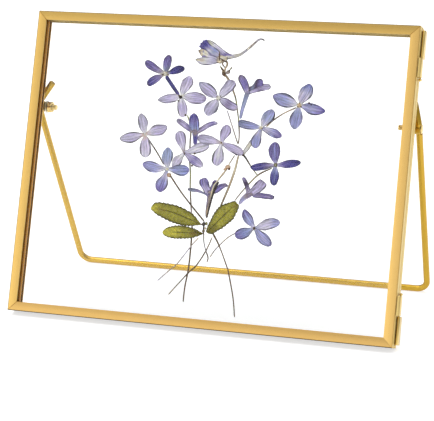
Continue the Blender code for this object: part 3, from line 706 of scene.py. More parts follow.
def screw(side, label, material):
    """A machine screw: a low rounded head outside the eye and a cut thread to its tip."""
    sides, pitch, radius, cut_depth, thread_end = 28, 0.5, 1.45, 0.24, 101.0
    rings = []
    x = SCREW_TIP
    while x < SCREW_SEAT + 0.001:
        from_tip = x - SCREW_TIP
        threaded = x < thread_end
        fade = min(1.0, max(0.0, from_tip / 0.6)) * (1.0 if threaded else 0.0)
        point = 0.32 * (1 - min(1.0, (from_tip + 0.15) / 0.5))
        ring = []
        for angle in (2 * pi * k / sides for k in range(sides)):
            cut = abs(2 * ((from_tip / pitch + angle / (2 * pi)) % 1.0) - 1)
            r = radius - cut_depth * cut * fade - point
            ring.append((side * x, PIVOT.y + r * cos(angle), PIVOT.z + r * sin(angle)))
        rings.append(ring)
        x += pitch / 8 if threaded else 0.4
    head = ((0.0, radius), (0.0, 2.35), (0.1, 2.5), (0.3, 2.44), (0.48, 2.15), (0.6, 1.6), (0.66, 1.1))
    rings += turned(side, [(SCREW_SEAT + out, r) for out, r in head], sides)
    shape = bmesh.new()
    loft(shape, rings)
    bmesh.ops.remove_doubles(shape, verts=shape.verts, dist=0.0005)
    finish_piece(f"screw_{label}", shape, "rear_half", material, 38.0)


# ---------------------------------------------------------------- dried plants: the tools

# How much of its colour a tone keeps, less where its blue is over its red, and how bright it gets
WARM_STRENGTH, COOL_STRENGTH, GAIN = 0.87, 0.81, 1.41


def colour(code, strength):
    """The colour of a hex code in linear light, a little greyer and brighter."""
    parts = [int(code[k:k + 2], 16) / 255 for k in (0, 2, 4)]
    linear = [c / 12.92 if c <= 0.04045 else ((c + 0.055) / 1.055) ** 2.4 for c in parts]
    plain = 0.3 * linear[0] + 0.55 * linear[1] + 0.15 * linear[2]
    return Vector([min(0.95, max(0.004, GAIN * (plain + strength * (c - plain))))
                   for c in linear])


TONES = {name: colour(code, COOL_STRENGTH if code[4:] > code[:2] else WARM_STRENGTH)
         for name, code in {
    "cream": "DCD0BA", "white": "DAD5E4", "ash": "A9A4B6", "pale": "C9C2DC", "lilac": "B9ACD6",
    "greylilac": "B3ACCB", "pink": "C6B9D8", "peri": "9A9BD2", "blue": "858DCB",
    "bluegrey": "97A2CB", "steel": "7F86AA", "violet": "7C6EB6", "purple": "6C5CA2",
    "indigo": "4A449A", "night": "3A3474", "plum": "4A3556", "mauve": "8A7AA6",
    "brown": "6A4A34", "tan": "C49A6C", "straw": "D8C8A2", "peach": "D9B79A", "taupe": "9B8A86",
    "dark": "2E2423", "olive": "97900E", "moss": "6E6606", "lime": "BCB206", "rust": "8C6A22",
    "deep": "5C5410", "green": "8C8C54", "umber": "5E4A33", "sand": "B79E7A", "grey": "8D8792",
    "fawn": "9C8A6C"}.items()}


def noise_at(x, y, z):
    """Smooth noise around 0."""
    return noise.noise(Vector((x, y, z)))


def smooth(points, count):
    """count + 1 points along a smooth curve through the given ones."""
    if len(points) == 2:
        return [points[0].lerp(points[1], k / count) for k in range(count + 1)]
    spans = [(b - a).length for a, b in zip(points, points[1:])]
    total, made = sum(spans), []
    for k in range(count + 1):
        target, n = total * k / count, 0
        while n < len(spans) - 1 and target > spans[n]:
            target -= spans[n]
            n += 1
        t = min(1.0, target / spans[n]) if spans[n] else 0.0
        p1, p2 = points[n], points[n + 1]
        p0 = points[n - 1] if n else p1 * 2 - p2
        p3 = points[n + 2] if n + 2 < len(points) else p2 * 2 - p1
        m1 = (p2 - p0) / 2
        m2 = (p3 - p1) / 2
        made.append((2 * t ** 3 - 3 * t ** 2 + 1) * p1 + (t ** 3 - 2 * t ** 2 + t) * m1
                    + (3 * t ** 2 - 2 * t ** 3) * p2 + (t ** 3 - t ** 2) * m2)
    return made


def along_stops(names, u):
    """The colour at u along evenly spaced stops."""
    place = min(max(u, 0.0), 1.0) * (len(names) - 1)
    first = min(int(place), len(names) - 2)
    return TONES[names[first]].lerp(TONES[names[first + 1]], place - first)


class Plant:
    """A dried plant while it grows: points, faces, and each point's tint and place."""

    # The depth of the rearmost plants, and what each layer in front of them adds
    REARMOST, LAYER = -3.225, 0.35
    # Each sheet, tube and button has a number of its own, so that no two share a pattern
    NUMBER_STEP = 1.37
    # The distance between a tube's rings, and the unevenness of its width
    TUBE_STEP, WOBBLE = 0.55, 0.05

    def __init__(self, layer):
        self.y = self.REARMOST - self.LAYER * layer
        self.points, self.faces, self.tints, self.places = [], [], [], []
        self.number = 0.0

    def point(self, x, y, z, tint, place):
        self.points.append((x, y, z))
        self.tints.append(tint)
        self.places.append((place[0], place[1], self.number))
        return len(self.points) - 1

    def quads(self, first, second, closed=True):
        """Faces between two rows of points, which are closed rings unless closed is False."""
        count = len(first)
        for k in range(count if closed else count - 1):
            after = (k + 1) % count
            self.faces.append((first[k], first[after], second[after], second[k]))

    def sheet(self, rows, tint, relief, thickness=0.13, lift=0.0, places=None):
        """A closed thin sheet over rows of (x, z) points, its front towards the viewer."""
        self.number += self.NUMBER_STEP
        nu, nv = len(rows) - 1, len(rows[0]) - 1
        length = 0.0
        sides = {1: [], -1: []}
        for i, row in enumerate(rows):
            if i:
                length += (row[nv // 2] - rows[i - 1][nv // 2]).length
            u = i / nu
            width = (row[-1] - row[0]).length
            for side in (1, -1):
                line = []
                for j, spot in enumerate(row):
                    v = 2 * j / nv - 1
                    thin = 0.3 + 0.7 * sqrt(max(0.0, 1 - v ** 4)) * min(1.0, (1 - u) * 8 + 0.2)
                    y = self.y - relief(u, v, spot) - lift - side * thickness / 2 * thin
                    place = (v * width / 2 + 20, length) if places is None else places(u, v)
                    line.append(self.point(spot.x, y, spot.y, tint(u, v, spot), place))
                sides[side].append(line)
        front, back = sides[1], sides[-1]
        for i in range(nu):
            self.quads(front[i], front[i + 1], closed=False)
            self.quads(back[i], back[i + 1], closed=False)
        for rows_in_front, rows_behind in ((front, back), (list(zip(*front)), list(zip(*back)))):
            for end in (0, -1):
                self.quads(rows_in_front[end], rows_behind[end], closed=False)

    def tube(self, path, widths, stops, thick, sides=12, lift=0.0, edges=None):
        """A flattened stem along (x, z) points; edges has the tones of its left and right rims, which paint
        shade along its two sides.
        """
        self.number += self.NUMBER_STEP
        path, stops = [Vector(p) for p in path], stops.split()
        length = sum((b - a).length for a, b in zip(path, path[1:]))
        count = max(6, int(length / self.TUBE_STEP))
        curve = smooth(path, count)
        rings = []
        for k, spot in enumerate(curve):
            u = k / count
            ahead = (curve[min(k + 1, count)] - curve[max(k - 1, 0)]).normalized()
            normal = Vector((-ahead.y, ahead.x))
            place = u * (len(widths) - 1)
            n = min(int(place), len(widths) - 2)
            width = widths[n] + (widths[n + 1] - widths[n]) * (place - n)
            width *= 1 + self.WOBBLE * noise_at(spot.x * 0.9, spot.y * 0.9, self.number)
            end = min(1.0, 0.45 + min(u, 1 - u) * count * 0.4)
            ring = []
            for m in range(sides):
                angle = 2 * pi * m / sides
                x, z = spot + normal * (width * end / 2 * cos(angle))
                tone = along_stops(stops, u)
                # The rims darken the tube's two sides: painted shade
                if edges:
                    rim = TONES[edges[0] if cos(angle) > 0 else edges[1]]
                    amount = max(0.0, abs(cos(angle)) - 0.45) / 0.55
                    tone = tone.lerp(rim, min(1.0, amount * 1.2))
                y = self.y - lift - thick * end / 2 * sin(angle)
                ring.append(self.point(x, y, z, tone, (angle * width / 2 + 10, u * length)))
            rings.append(ring)
        for lower, upper in zip(rings, rings[1:]):
            self.quads(lower, upper)
        self.faces += [tuple(rings[0]), tuple(rings[-1][::-1])]

    def button(self, centre, radius, height, stops, lift=0.0, squash=1.0, sides=22):
        """A flower's throat or a bud: a low turned mound; stops run from its middle outwards."""
        self.number += self.NUMBER_STEP
        x, z = centre
        stops = stops.split()
        profile = ((0.12, 0.45), (0.3, 0.55), (0.48, 0.95), (0.66, 1.0), (0.84, 0.72),
                   (0.97, 0.3), (1.0, 0.0), (0.9, -0.35), (0.5, -0.45))
        rings = []
        for reach, rise in profile:
            ring = []
            tone = along_stops(stops, reach if rise > 0 else 1.0)
            for angle in (2 * pi * k / sides for k in range(sides)):
                r = radius * reach * (1 + 0.16 * noise_at(cos(angle) * 1.3, sin(angle) * 1.3, x + z))
                ring.append(self.point(x + r * cos(angle), self.y - lift - height * rise,
                                       z + r * squash * sin(angle), tone, (angle, r)))
            rings.append(ring)
        for inner, outer in zip(rings, rings[1:]):
            self.quads(inner, outer)
        self.faces += [tuple(rings[0][::-1]), tuple(rings[-1])]

    def done(self, name, material):
        """The finished piece, in place of the node of its name."""
        shape = bmesh.new()
        points = [shape.verts.new(p) for p in self.points]
        for corners in self.faces:
            shape.faces.new([points[k] for k in corners])
        shape.verts.index_update()
        mesh = finish_piece(name, shape, "rear_half", material, 60.0).data
        tints = mesh.attributes.new("tint", "FLOAT_COLOR", "POINT")
        tints.data.foreach_set("color", [c for t in self.tints for c in (*t, 1.0)])
        places = mesh.attributes.new("place", "FLOAT_VECTOR", "POINT")
        places.data.foreach_set("vector", [c for p in self.places for c in p])


def ruled(side_a, side_b, nu, nv, middle=None, grow=0.0):
    """Rows of points from side_a to side_b, over middle where it is given, grow wider each side."""
    a = smooth([Vector(p) for p in side_a], nu)
    b = smooth([Vector(p) for p in side_b], nu)
    for k, (p, q) in enumerate(zip(a, b)):
        if (p - q).length > 0.1:
            out = (p - q).normalized() * grow
            a[k], b[k] = p + out, q - out
    if middle is None:
        return [[p.lerp(q, j / nv) for j in range(nv + 1)] for p, q in zip(a, b)]
    m = smooth([Vector(p) for p in middle], nu)
    return [[p.lerp(c, 2 * j / nv) if 2 * j <= nv else c.lerp(q, 2 * j / nv - 1)
             for j in range(nv + 1)] for p, c, q in zip(a, m, b)]


def petal_relief(seed, cup=0.14, crease=0.07, ripple=0.06):
    """Heights of a petal: raised rims, a crease along its middle, and the waves it dried with."""
    def height(u, v, spot):
        wave = noise_at(spot.x * 0.35, spot.y * 0.35, seed)
        fine = noise_at(spot.x * 1.1, spot.y * 1.1, seed + 7)
        fold = max(0.0, 1 - abs(v) * 6)
        return (cup * abs(v) ** 3 * sin(pi * min(1.0, u * 1.1)) - crease * fold
                + ripple * wave + 0.03 * fine + 0.02 * cos(v * 15))
    return height


def spotted(tone, spots, u, v, hardness):
    """The tone with spots of (tone, u, v, u radius, v radius, amount) laid over it."""
    for name, su, sv, ru, rv, amount in spots:
        near = 1 - hypot((u - su) / ru, (v - sv) / rv)
        if near > 0:
            tone = tone.lerp(TONES[name], amount * min(1.0, near * hardness))
    return tone


def petal_tint(stops, seed, rim, rims, middle, spots=()):
    """Colours of a petal: stops from root to tip, rims on its two sides, a middle streak. The dark rims and
    tip are partly the dried edge's colour and partly painted shade.
    """
    stops = stops.split()
    edge = TONES[rim].lerp(TONES["umber"], 0.3) * 0.36

    def tint(u, v, spot):
        drift = 0.10 * noise_at(spot.x * 0.5, spot.y * 0.5, seed)
        tone = along_stops(stops, u + drift)
        if middle is not None:
            streak = max(0.0, 1 - abs(v + 0.2 * drift) / 0.42) * sin(pi * min(1.0, u * 1.05))
            tone = tone.lerp(TONES[middle], 0.65 * streak)
        tone = tone * (1.03 + 0.28 * noise_at(v * 4.6, u * 1.3, seed * 1.7))
        patchy = 0.8 + 1.2 * noise_at(u * 4.5, 3.0 if v < 0 else 8.0, seed)
        strength = rims[0 if v < 0 else 1] * min(1.15, max(0.25, patchy))
        # A painted highlight in a band just inside each rim, and past it the dark rim, partly painted
        # shade, stronger on one side
        inner = max(0.0, 1 - abs(abs(v) - 0.55) / 0.16)
        tone = tone * (1 + 0.16 * inner * strength)
        reach = (abs(v) - 0.69) / 0.12
        if reach > 0:
            tone = tone.lerp(edge, min(1.0, 1.2 * strength * min(1.0, reach)))
        # The tip darkens too: partly its own colour, partly painted shade
        end = (u - 0.93) / 0.035
        if end > 0:
            tone = tone.lerp(edge, min(1.0, end) * min(1.0, 1.15 * max(rims)))
        return spotted(tone, spots, u, v, 2)
    return tint


# Where along a petal STARS gives its half widths, as shares of its length, and what they gain
STATIONS, FULLER = (0.25, 0.4, 0.55, 0.7, 0.82, 0.92), 0.14


def star_sides(centre, angle, length, left, right):
    """A petal's two edges, from its half widths at STATIONS."""
    ahead = Vector((cos(radians(angle)), sin(radians(angle))))
    normal = Vector((-ahead.y, ahead.x))
    sides = []
    for sign, widths in ((1, left), (-1, right)):
        widths = [max(0.3, w + FULLER) for w in widths]
        root = ((0.0, 0.6), (0.11, min(1.0, widths[0] * 0.72)))
        tip = ((0.975, widths[-1] * 0.55), (1.0, 0.1))
        sides.append([centre + ahead * length * t + normal * sign * w
                      for t, w in (*root, *zip(STATIONS, widths), *tip)])
    return sides


# ---------------------------------------------------------------- dried plants: what is pressed

# Open flowers: layer, centre, throat (radius, tones from its middle outwards), then each petal:
# angle, length, half widths to its left and right at STATIONS, tones, rim, rim strengths, streak
STARS = {
    "floret_1": (0, (-30.1, 129.3), (1.5, "white cream straw"), [
        (152, 13.3, (1.6, 2, 2.3, 2.4, 2.2, 1.6), (1, 1.2, 1.4, 1.6, 1.5, 1.2), "cream mauve purple violet",
         "night", (0.2, 0.4), "violet"),
        (85, 10.2, (1.5, 1.9, 2.1, 2.1, 1.8, 1), (1.5, 2, 2.1, 2.1, 1.9, 1.5),
         "cream steel violet purple plum", "night", (0.4, 0.7), "violet"),
        (19, 10.9, (1, 1.7, 2.1, 2.2, 1.9, 1.3), (0.9, 1.4, 1.6, 1.7, 1.4, 1.1),
         "cream indigo indigo night night", "night", (0.5, 0.5), "indigo"),
        (-147, 11.2, (0.8, 1.4, 1.6, 1.7, 1.6, 1.4), (1.2, 2, 2.3, 2.3, 2, 1.5),
         "cream mauve violet indigo plum", "night", (0.5, 0.6), "violet")]),
    "floret_2": (1, (-20.1, 118), (1.3, "umber cream white"), [
        (72, 11.5, (2, 2.4, 2.6, 2.6, 1.9, 1.1), (1.7, 2.5, 3, 3.4, 2.9, 2), "white pale pink lilac pink",
         "ash", (0.5, 0.8), None),
        (-169, 12.8, (2.2, 2.4, 2.5, 2.3, 1.7, 1), (1.8, 1.9, 2, 1.7, 1.3, 0.8),
         "white pale lilac greylilac ash", "ash", (0.7, 0.5), None),
        (-2, 13.8, (2, 2.6, 2.9, 2.6, 2.2, 1.5), (2, 2.9, 3.2, 3.1, 2.7, 1.9),
         "white pale lilac lilac mauve", "ash", (0.7, 0.7), None),
        (-79, 10.9, (1.7, 2.3, 2.7, 2.7, 2.4, 1.8), (2, 2.3, 2.5, 2.4, 2.1, 1.5),
         "white pale lilac pink pink", "ash", (0.5, 0.8), None)]),
    "floret_3": (1, (0.1, 118.2), (1.6, "white cream white"), [
        (146, 13.5, (2.1, 2.7, 2.8, 2.6, 1.9, 1.2), (2.2, 2.8, 2.9, 2.6, 1.8, 1.1),
         "pale greylilac lilac greylilac steel", "steel", (0.5, 0.9), "lilac"),
        (50, 12, (1.9, 2.4, 2.6, 2.9, 2.9, 1.9), (1.9, 2.2, 2.5, 2.8, 2.4, 2.1),
         "white pale greylilac greylilac mauve", "mauve", (0.5, 0.9), "pale"),
        (-24, 11.9, (1.5, 1.9, 1.8, 1.7, 1.6, 1.1), (1.9, 2.3, 2.7, 2.6, 2.2, 1.7),
         "pale greylilac mauve lilac taupe", "mauve", (0.9, 0.9), None),
        (-120, 10.7, (2.2, 2.9, 3.2, 2.8, 2.1, 1.5), (2, 3, 3.5, 3.6, 3.1, 2.2),
         "pale pale greylilac greylilac greylilac", "steel", (0.9, 0.5), "lilac")]),
    "floret_5": (1, (43.2, 116.7), (1.9, "straw tan straw white"), [
        (163, 14.9, (2.3, 3.3, 3.6, 3.5, 2.7, 1.6), (2.2, 3, 3.3, 3, 2.3, 1.3),
         "white pale peri peri violet", "steel", (0.8, 0.7), "bluegrey"),
        (68, 12.1, (2.1, 2.8, 3.1, 3, 2.1, 1.3), (1.8, 2.9, 3.5, 3.5, 2.9, 2.1),
         "white pink pale blue indigo", "steel", (0.4, 0.9), "peri"),
        (-9, 13.9, (1.8, 2.3, 2.3, 2, 1.5, 0.9), (1.8, 2.9, 3.2, 2.9, 2.2, 1.4),
         "pink peri peri violet indigo", "night", (0.6, 0.6), "greylilac"),
        (-97, 12.3, (1.9, 2.8, 3.1, 2.9, 2.2, 1.3), (1.9, 2.9, 3.4, 3.3, 2.6, 1.7),
         "pink bluegrey peri peri steel", "mauve", (0.6, 0.9), "blue")]),
    "floret_6": (2, (24.5, 104.2), (1.3, "cream straw white"), [
        (170, 12.7, (1.6, 2.1, 2.4, 2.4, 2.3, 2), (1.2, 1.5, 1.6, 1.6, 1.6, 1.4),
         "white peri peri steel night", "purple", (0.6, 0.7), "blue"),
        (62, 10.9, (2.1, 2.6, 2.9, 2.7, 2.1, 1.3), (1.7, 2.4, 3, 3.1, 2.7, 2),
         "white pale bluegrey peri steel", "plum", (0.2, 0.9), "peri"),
        (-19, 11.8, (1.3, 1.8, 2.1, 2.2, 1.7, 1.2), (1.3, 1.7, 2, 2, 1.8, 1.1),
         "peri pale peri violet purple", "indigo", (0.6, 0.8), "lilac"),
        (-102, 10.9, (1.1, 1.4, 1.9, 2, 1.8, 1.2), (1.6, 2.4, 3, 3.3, 2.9, 2),
         "bluegrey pale peri peri violet", "mauve", (0.8, 0.8), "blue")]),
    "floret_7": (2, (33.9, 85.7), (1.35, "cream green umber"), [
        (97, 11.8, (2, 2.9, 3.3, 3.4, 2.8, 1.9), (1.5, 2.1, 2.5, 2.5, 2.2, 1.6),
         "pale violet violet violet purple", "purple", (0.4, 0.6), "blue"),
        (10, 13.2, (1.1, 1.6, 1.8, 1.7, 1.4, 1), (1.4, 2, 2.1, 2, 1.7, 1.1),
         "pale violet indigo indigo night", "night", (0.5, 0.5), "indigo"),
        (-89, 10.4, (1.3, 2, 2.2, 2, 1.6, 1.2), (1.5, 2.1, 2.3, 2.3, 2, 1.5),
         "pale blue indigo indigo night", "night", (0.6, 0.5), "blue"),
        (-171, 13.3, (1.2, 1.7, 1.8, 1.9, 1.8, 1.1), (1.3, 1.8, 1.8, 1.7, 1.4, 1),
         "pale mauve indigo indigo night", "night", (0.5, 0.5), "violet")]),
    "floret_8": (1, (-37.8, 97.1), (1, "white white cream"), [
        (107, 11.4, (1.7, 2.3, 2.4, 2.4, 2.1, 1.4), (1.6, 2.3, 2.8, 2.4, 1.8, 1),
         "white pale greylilac greylilac ash", "ash", (0.7, 0.9), "pale"),
        (23, 12.7, (1.6, 2.6, 2.8, 2.3, 1.7, 1.1), (1.7, 2.4, 3, 3.2, 2.6, 1.7),
         "peach pale lilac lilac greylilac", "ash", (0.8, 0.9), "pale"),
        (-168, 14.1, (1.8, 2.8, 3.2, 2.8, 2.2, 1.5), (1.5, 2.1, 2.3, 2.1, 1.6, 1),
         "peach pink lilac greylilac ash", "ash", (0.9, 0.7), "pale"),
        (-83, 12, (1.8, 2.6, 3.1, 3.2, 3, 2.1), (1.8, 2.6, 2.9, 2.9, 2.6, 1.7), "peach pink pink pale pale",
         "ash", (0.9, 0.7), None)]),
    "floret_10": (1, (-15.4, 89), (0.9, "dark taupe greylilac"), [
        (110, 11.8, (1.2, 2, 2.5, 2.8, 2.5, 2), (1.3, 2, 2.5, 2.8, 2.6, 1.8), "taupe pale lilac lilac ash",
         "mauve", (0.4, 0.9), "pale"),
        (19, 13.9, (1.3, 2.2, 2.8, 2.7, 2.2, 1.4), (1.4, 2, 2.2, 2.2, 1.9, 1.3),
         "greylilac pale pale pale greylilac", "ash", (0.5, 0.7), "white"),
        (-31, 12.5, (1.2, 1.8, 2.1, 2.2, 1.7, 1.3), (1.4, 2.1, 2.3, 2.2, 1.9, 1.3),
         "greylilac lilac violet lilac pale", "mauve", (0.4, 0.7), "lilac"),
        (-126, 9.6, (1.3, 2, 2.4, 2.4, 1.9, 1), (1.2, 2, 2.4, 2.2, 1.6, 0.9), "pale white pink pale mauve",
         "mauve", (0.9, 0.3), None)]),
    "floret_11": (3, (4.2, 95.2), (1.1, "brown straw pale"), [
        (76, 9.8, (1.4, 2, 2.3, 2.2, 1.9, 1.1), (1.4, 2.2, 2.8, 3.1, 2.6, 1.8),
         "pale lilac lilac lilac mauve", "mauve", (0.6, 0.8), "greylilac"),
        (171, 13.2, (1.4, 2, 2.3, 2.4, 2.2, 1.6), (1.4, 2, 2.2, 2.2, 2, 1.5),
         "taupe pink greylilac greylilac mauve", "plum", (0.5, 0.5), None),
        (-21, 13.2, (1.3, 1.8, 2.1, 2.2, 1.9, 1.3), (1.4, 1.9, 2, 2.1, 1.9, 1.6),
         "pale lilac lilac pink lilac", "mauve", (0.6, 0.7), None),
        (-96, 12, (1.3, 2.2, 2.8, 3, 2.3, 1.4), (1.4, 2.5, 3.1, 3.2, 3, 2.1), "white pale pale lilac ash",
         "ash", (0.7, 0.9), "white")]),
    "floret_12": (2, (-23.6, 79.9), (1.3, "straw cream white"), [
        (94, 11.3, (1.9, 2.8, 3, 2.7, 2.2, 1.4), (1.5, 2.3, 2.8, 2.8, 2.2, 1.3),
         "white greylilac bluegrey bluegrey blue", "steel", (0.3, 0.9), "bluegrey"),
        (172, 13.9, (2.1, 2.9, 3.2, 3.1, 2.4, 1.5), (1.1, 1.6, 2.1, 2.2, 1.9, 1.2),
         "white pale peri peri violet", "mauve", (0.6, 0.6), "peri"),
        (1, 12, (1.3, 2.1, 2.4, 2.5, 2.2, 1.5), (1.5, 2.3, 2.9, 3.1, 2.7, 1.8),
         "white peri bluegrey blue violet", "indigo", (0.6, 0.7), "blue"),
        (-104, 12.5, (1.2, 2.1, 2.9, 2.9, 2.4, 1.5), (1.1, 2, 3.2, 3.4, 3, 2.2),
         "bluegrey pale peri violet purple", "mauve", (0.8, 0.7), "violet")]),
    "floret_15": (1, (25.7, 53.1), (1, "dark brown taupe"), [
        (124, 11.1, (1.7, 2.5, 2.8, 2.7, 2.3, 1.4), (1.3, 1.8, 1.9, 1.6, 1.2, 0.7),
         "pale peri peri violet night", "purple", (0.5, 0.8), "bluegrey"),
        (17, 13.8, (1.8, 2.8, 3.1, 3, 2.5, 1.7), (1.6, 2.3, 2.3, 2.1, 1.8, 1.3),
         "bluegrey pale pale peri peri", "mauve", (0.7, 0.6), "lilac"),
        (-39, 12.6, (1.4, 1.9, 2.3, 2.2, 1.8, 1.2), (1.8, 2.8, 3.1, 2.9, 2.3, 1.7),
         "steel peri peri peri purple", "purple", (0.7, 0.7), "lilac"),
        (-152, 10.7, (1.7, 2.6, 2.8, 2.8, 2.3, 1.5), (1.3, 2.1, 2.6, 2.7, 2.5, 2),
         "ash bluegrey blue violet indigo", "purple", (0.7, 0.7), "blue")]),
}

SLOTS = {"petal_violet": (1, 7, 9, 13, 14), "petal_blue": (5, 6, 12, 15),
         "petal_lilac": (2, 3, 4, 8, 10, 11)}

# Stalks that grew with a flower: path, widths, tones, tones of the left and right rims
STALKS = {
    "floret_1": ([(-29.6, 128.2), (-25.8, 123.6), (-21.6, 118.7)], (2.1, 2, 1.8),
        "indigo night indigo night purple", ("night", "night")),
    "floret_5": ([(41.8, 115.6), (35.6, 112.3), (30.2, 108.3), (27, 104.9)], (0.75, 0.7, 0.85),
        "umber sand umber sand", None),
    "floret_8": ([(-37, 96.2), (-30.6, 88.7), (-25.9, 82.2)], (0.9, 0.75, 0.7), "grey umber umber", None),
    "floret_12": ([(-22.2, 77.4), (-15.4, 69.2), (-9.2, 62.7), (-1, 54.6)], (0.9, 0.8, 0.9),
        "brown umber umber umber", None),
}

# Small dried parts in and by the throats: centre, radius, tones
BITS = {
    "floret_1": [((-31.3, 128.8), 0.5, "umber brown umber"), ((-28.4, 128.8), 0.5, "brown umber")],
    "floret_2": [((-20.3, 117.6), 0.95, "dark dark umber"), ((-21.2, 118.4), 0.5, "umber brown"),
        ((-19, 118.6), 0.5, "white cream"), ((-21.3, 115.6), 0.5, "dark umber"),
        ((-16.6, 108.4), 0.6, "dark umber plum")],
    "floret_3": [((-0.6, 118.9), 0.32, "dark umber"), ((1.2, 119.2), 0.32, "dark umber"),
        ((-0.4, 117.2), 0.32, "dark umber"), ((1.1, 117.3), 0.32, "dark umber")],
    "floret_5": [((42.5, 116), 0.38, "brown umber"), ((44.2, 116.2), 0.38, "umber brown"),
        ((43.3, 117.8), 0.38, "brown rust"), ((48.2, 118.1), 0.6, "dark plum"),
        ((49.4, 117.4), 0.45, "dark plum")],
    "floret_6": [((25.1, 103.9), 0.4, "brown umber"), ((23.8, 103.3), 0.4, "white pale")],
    "floret_8": [((-37.6, 96.8), 0.6, "white white peach"), ((-38.8, 97.4), 0.35, "peach taupe")],
    "floret_10": [((-9.6, 88.9), 0.6, "dark umber plum"), ((-15.1, 88.4), 0.4, "dark umber"),
        ((-10.4, 82.6), 0.6, "dark umber plum")],
    "floret_11": [((4.3, 95.2), 0.5, "dark brown umber"), ((5.2, 94.5), 0.3, "straw sand")],
    "floret_12": [((-22.2, 76.9), 1.2, "straw peach tan brown"), ((-21.6, 76.1), 0.45, "umber brown")],
    "floret_15": [((25.8, 53.1), 0.55, "dark dark umber"), ((26.6, 52.4), 0.3, "cream straw")],
}

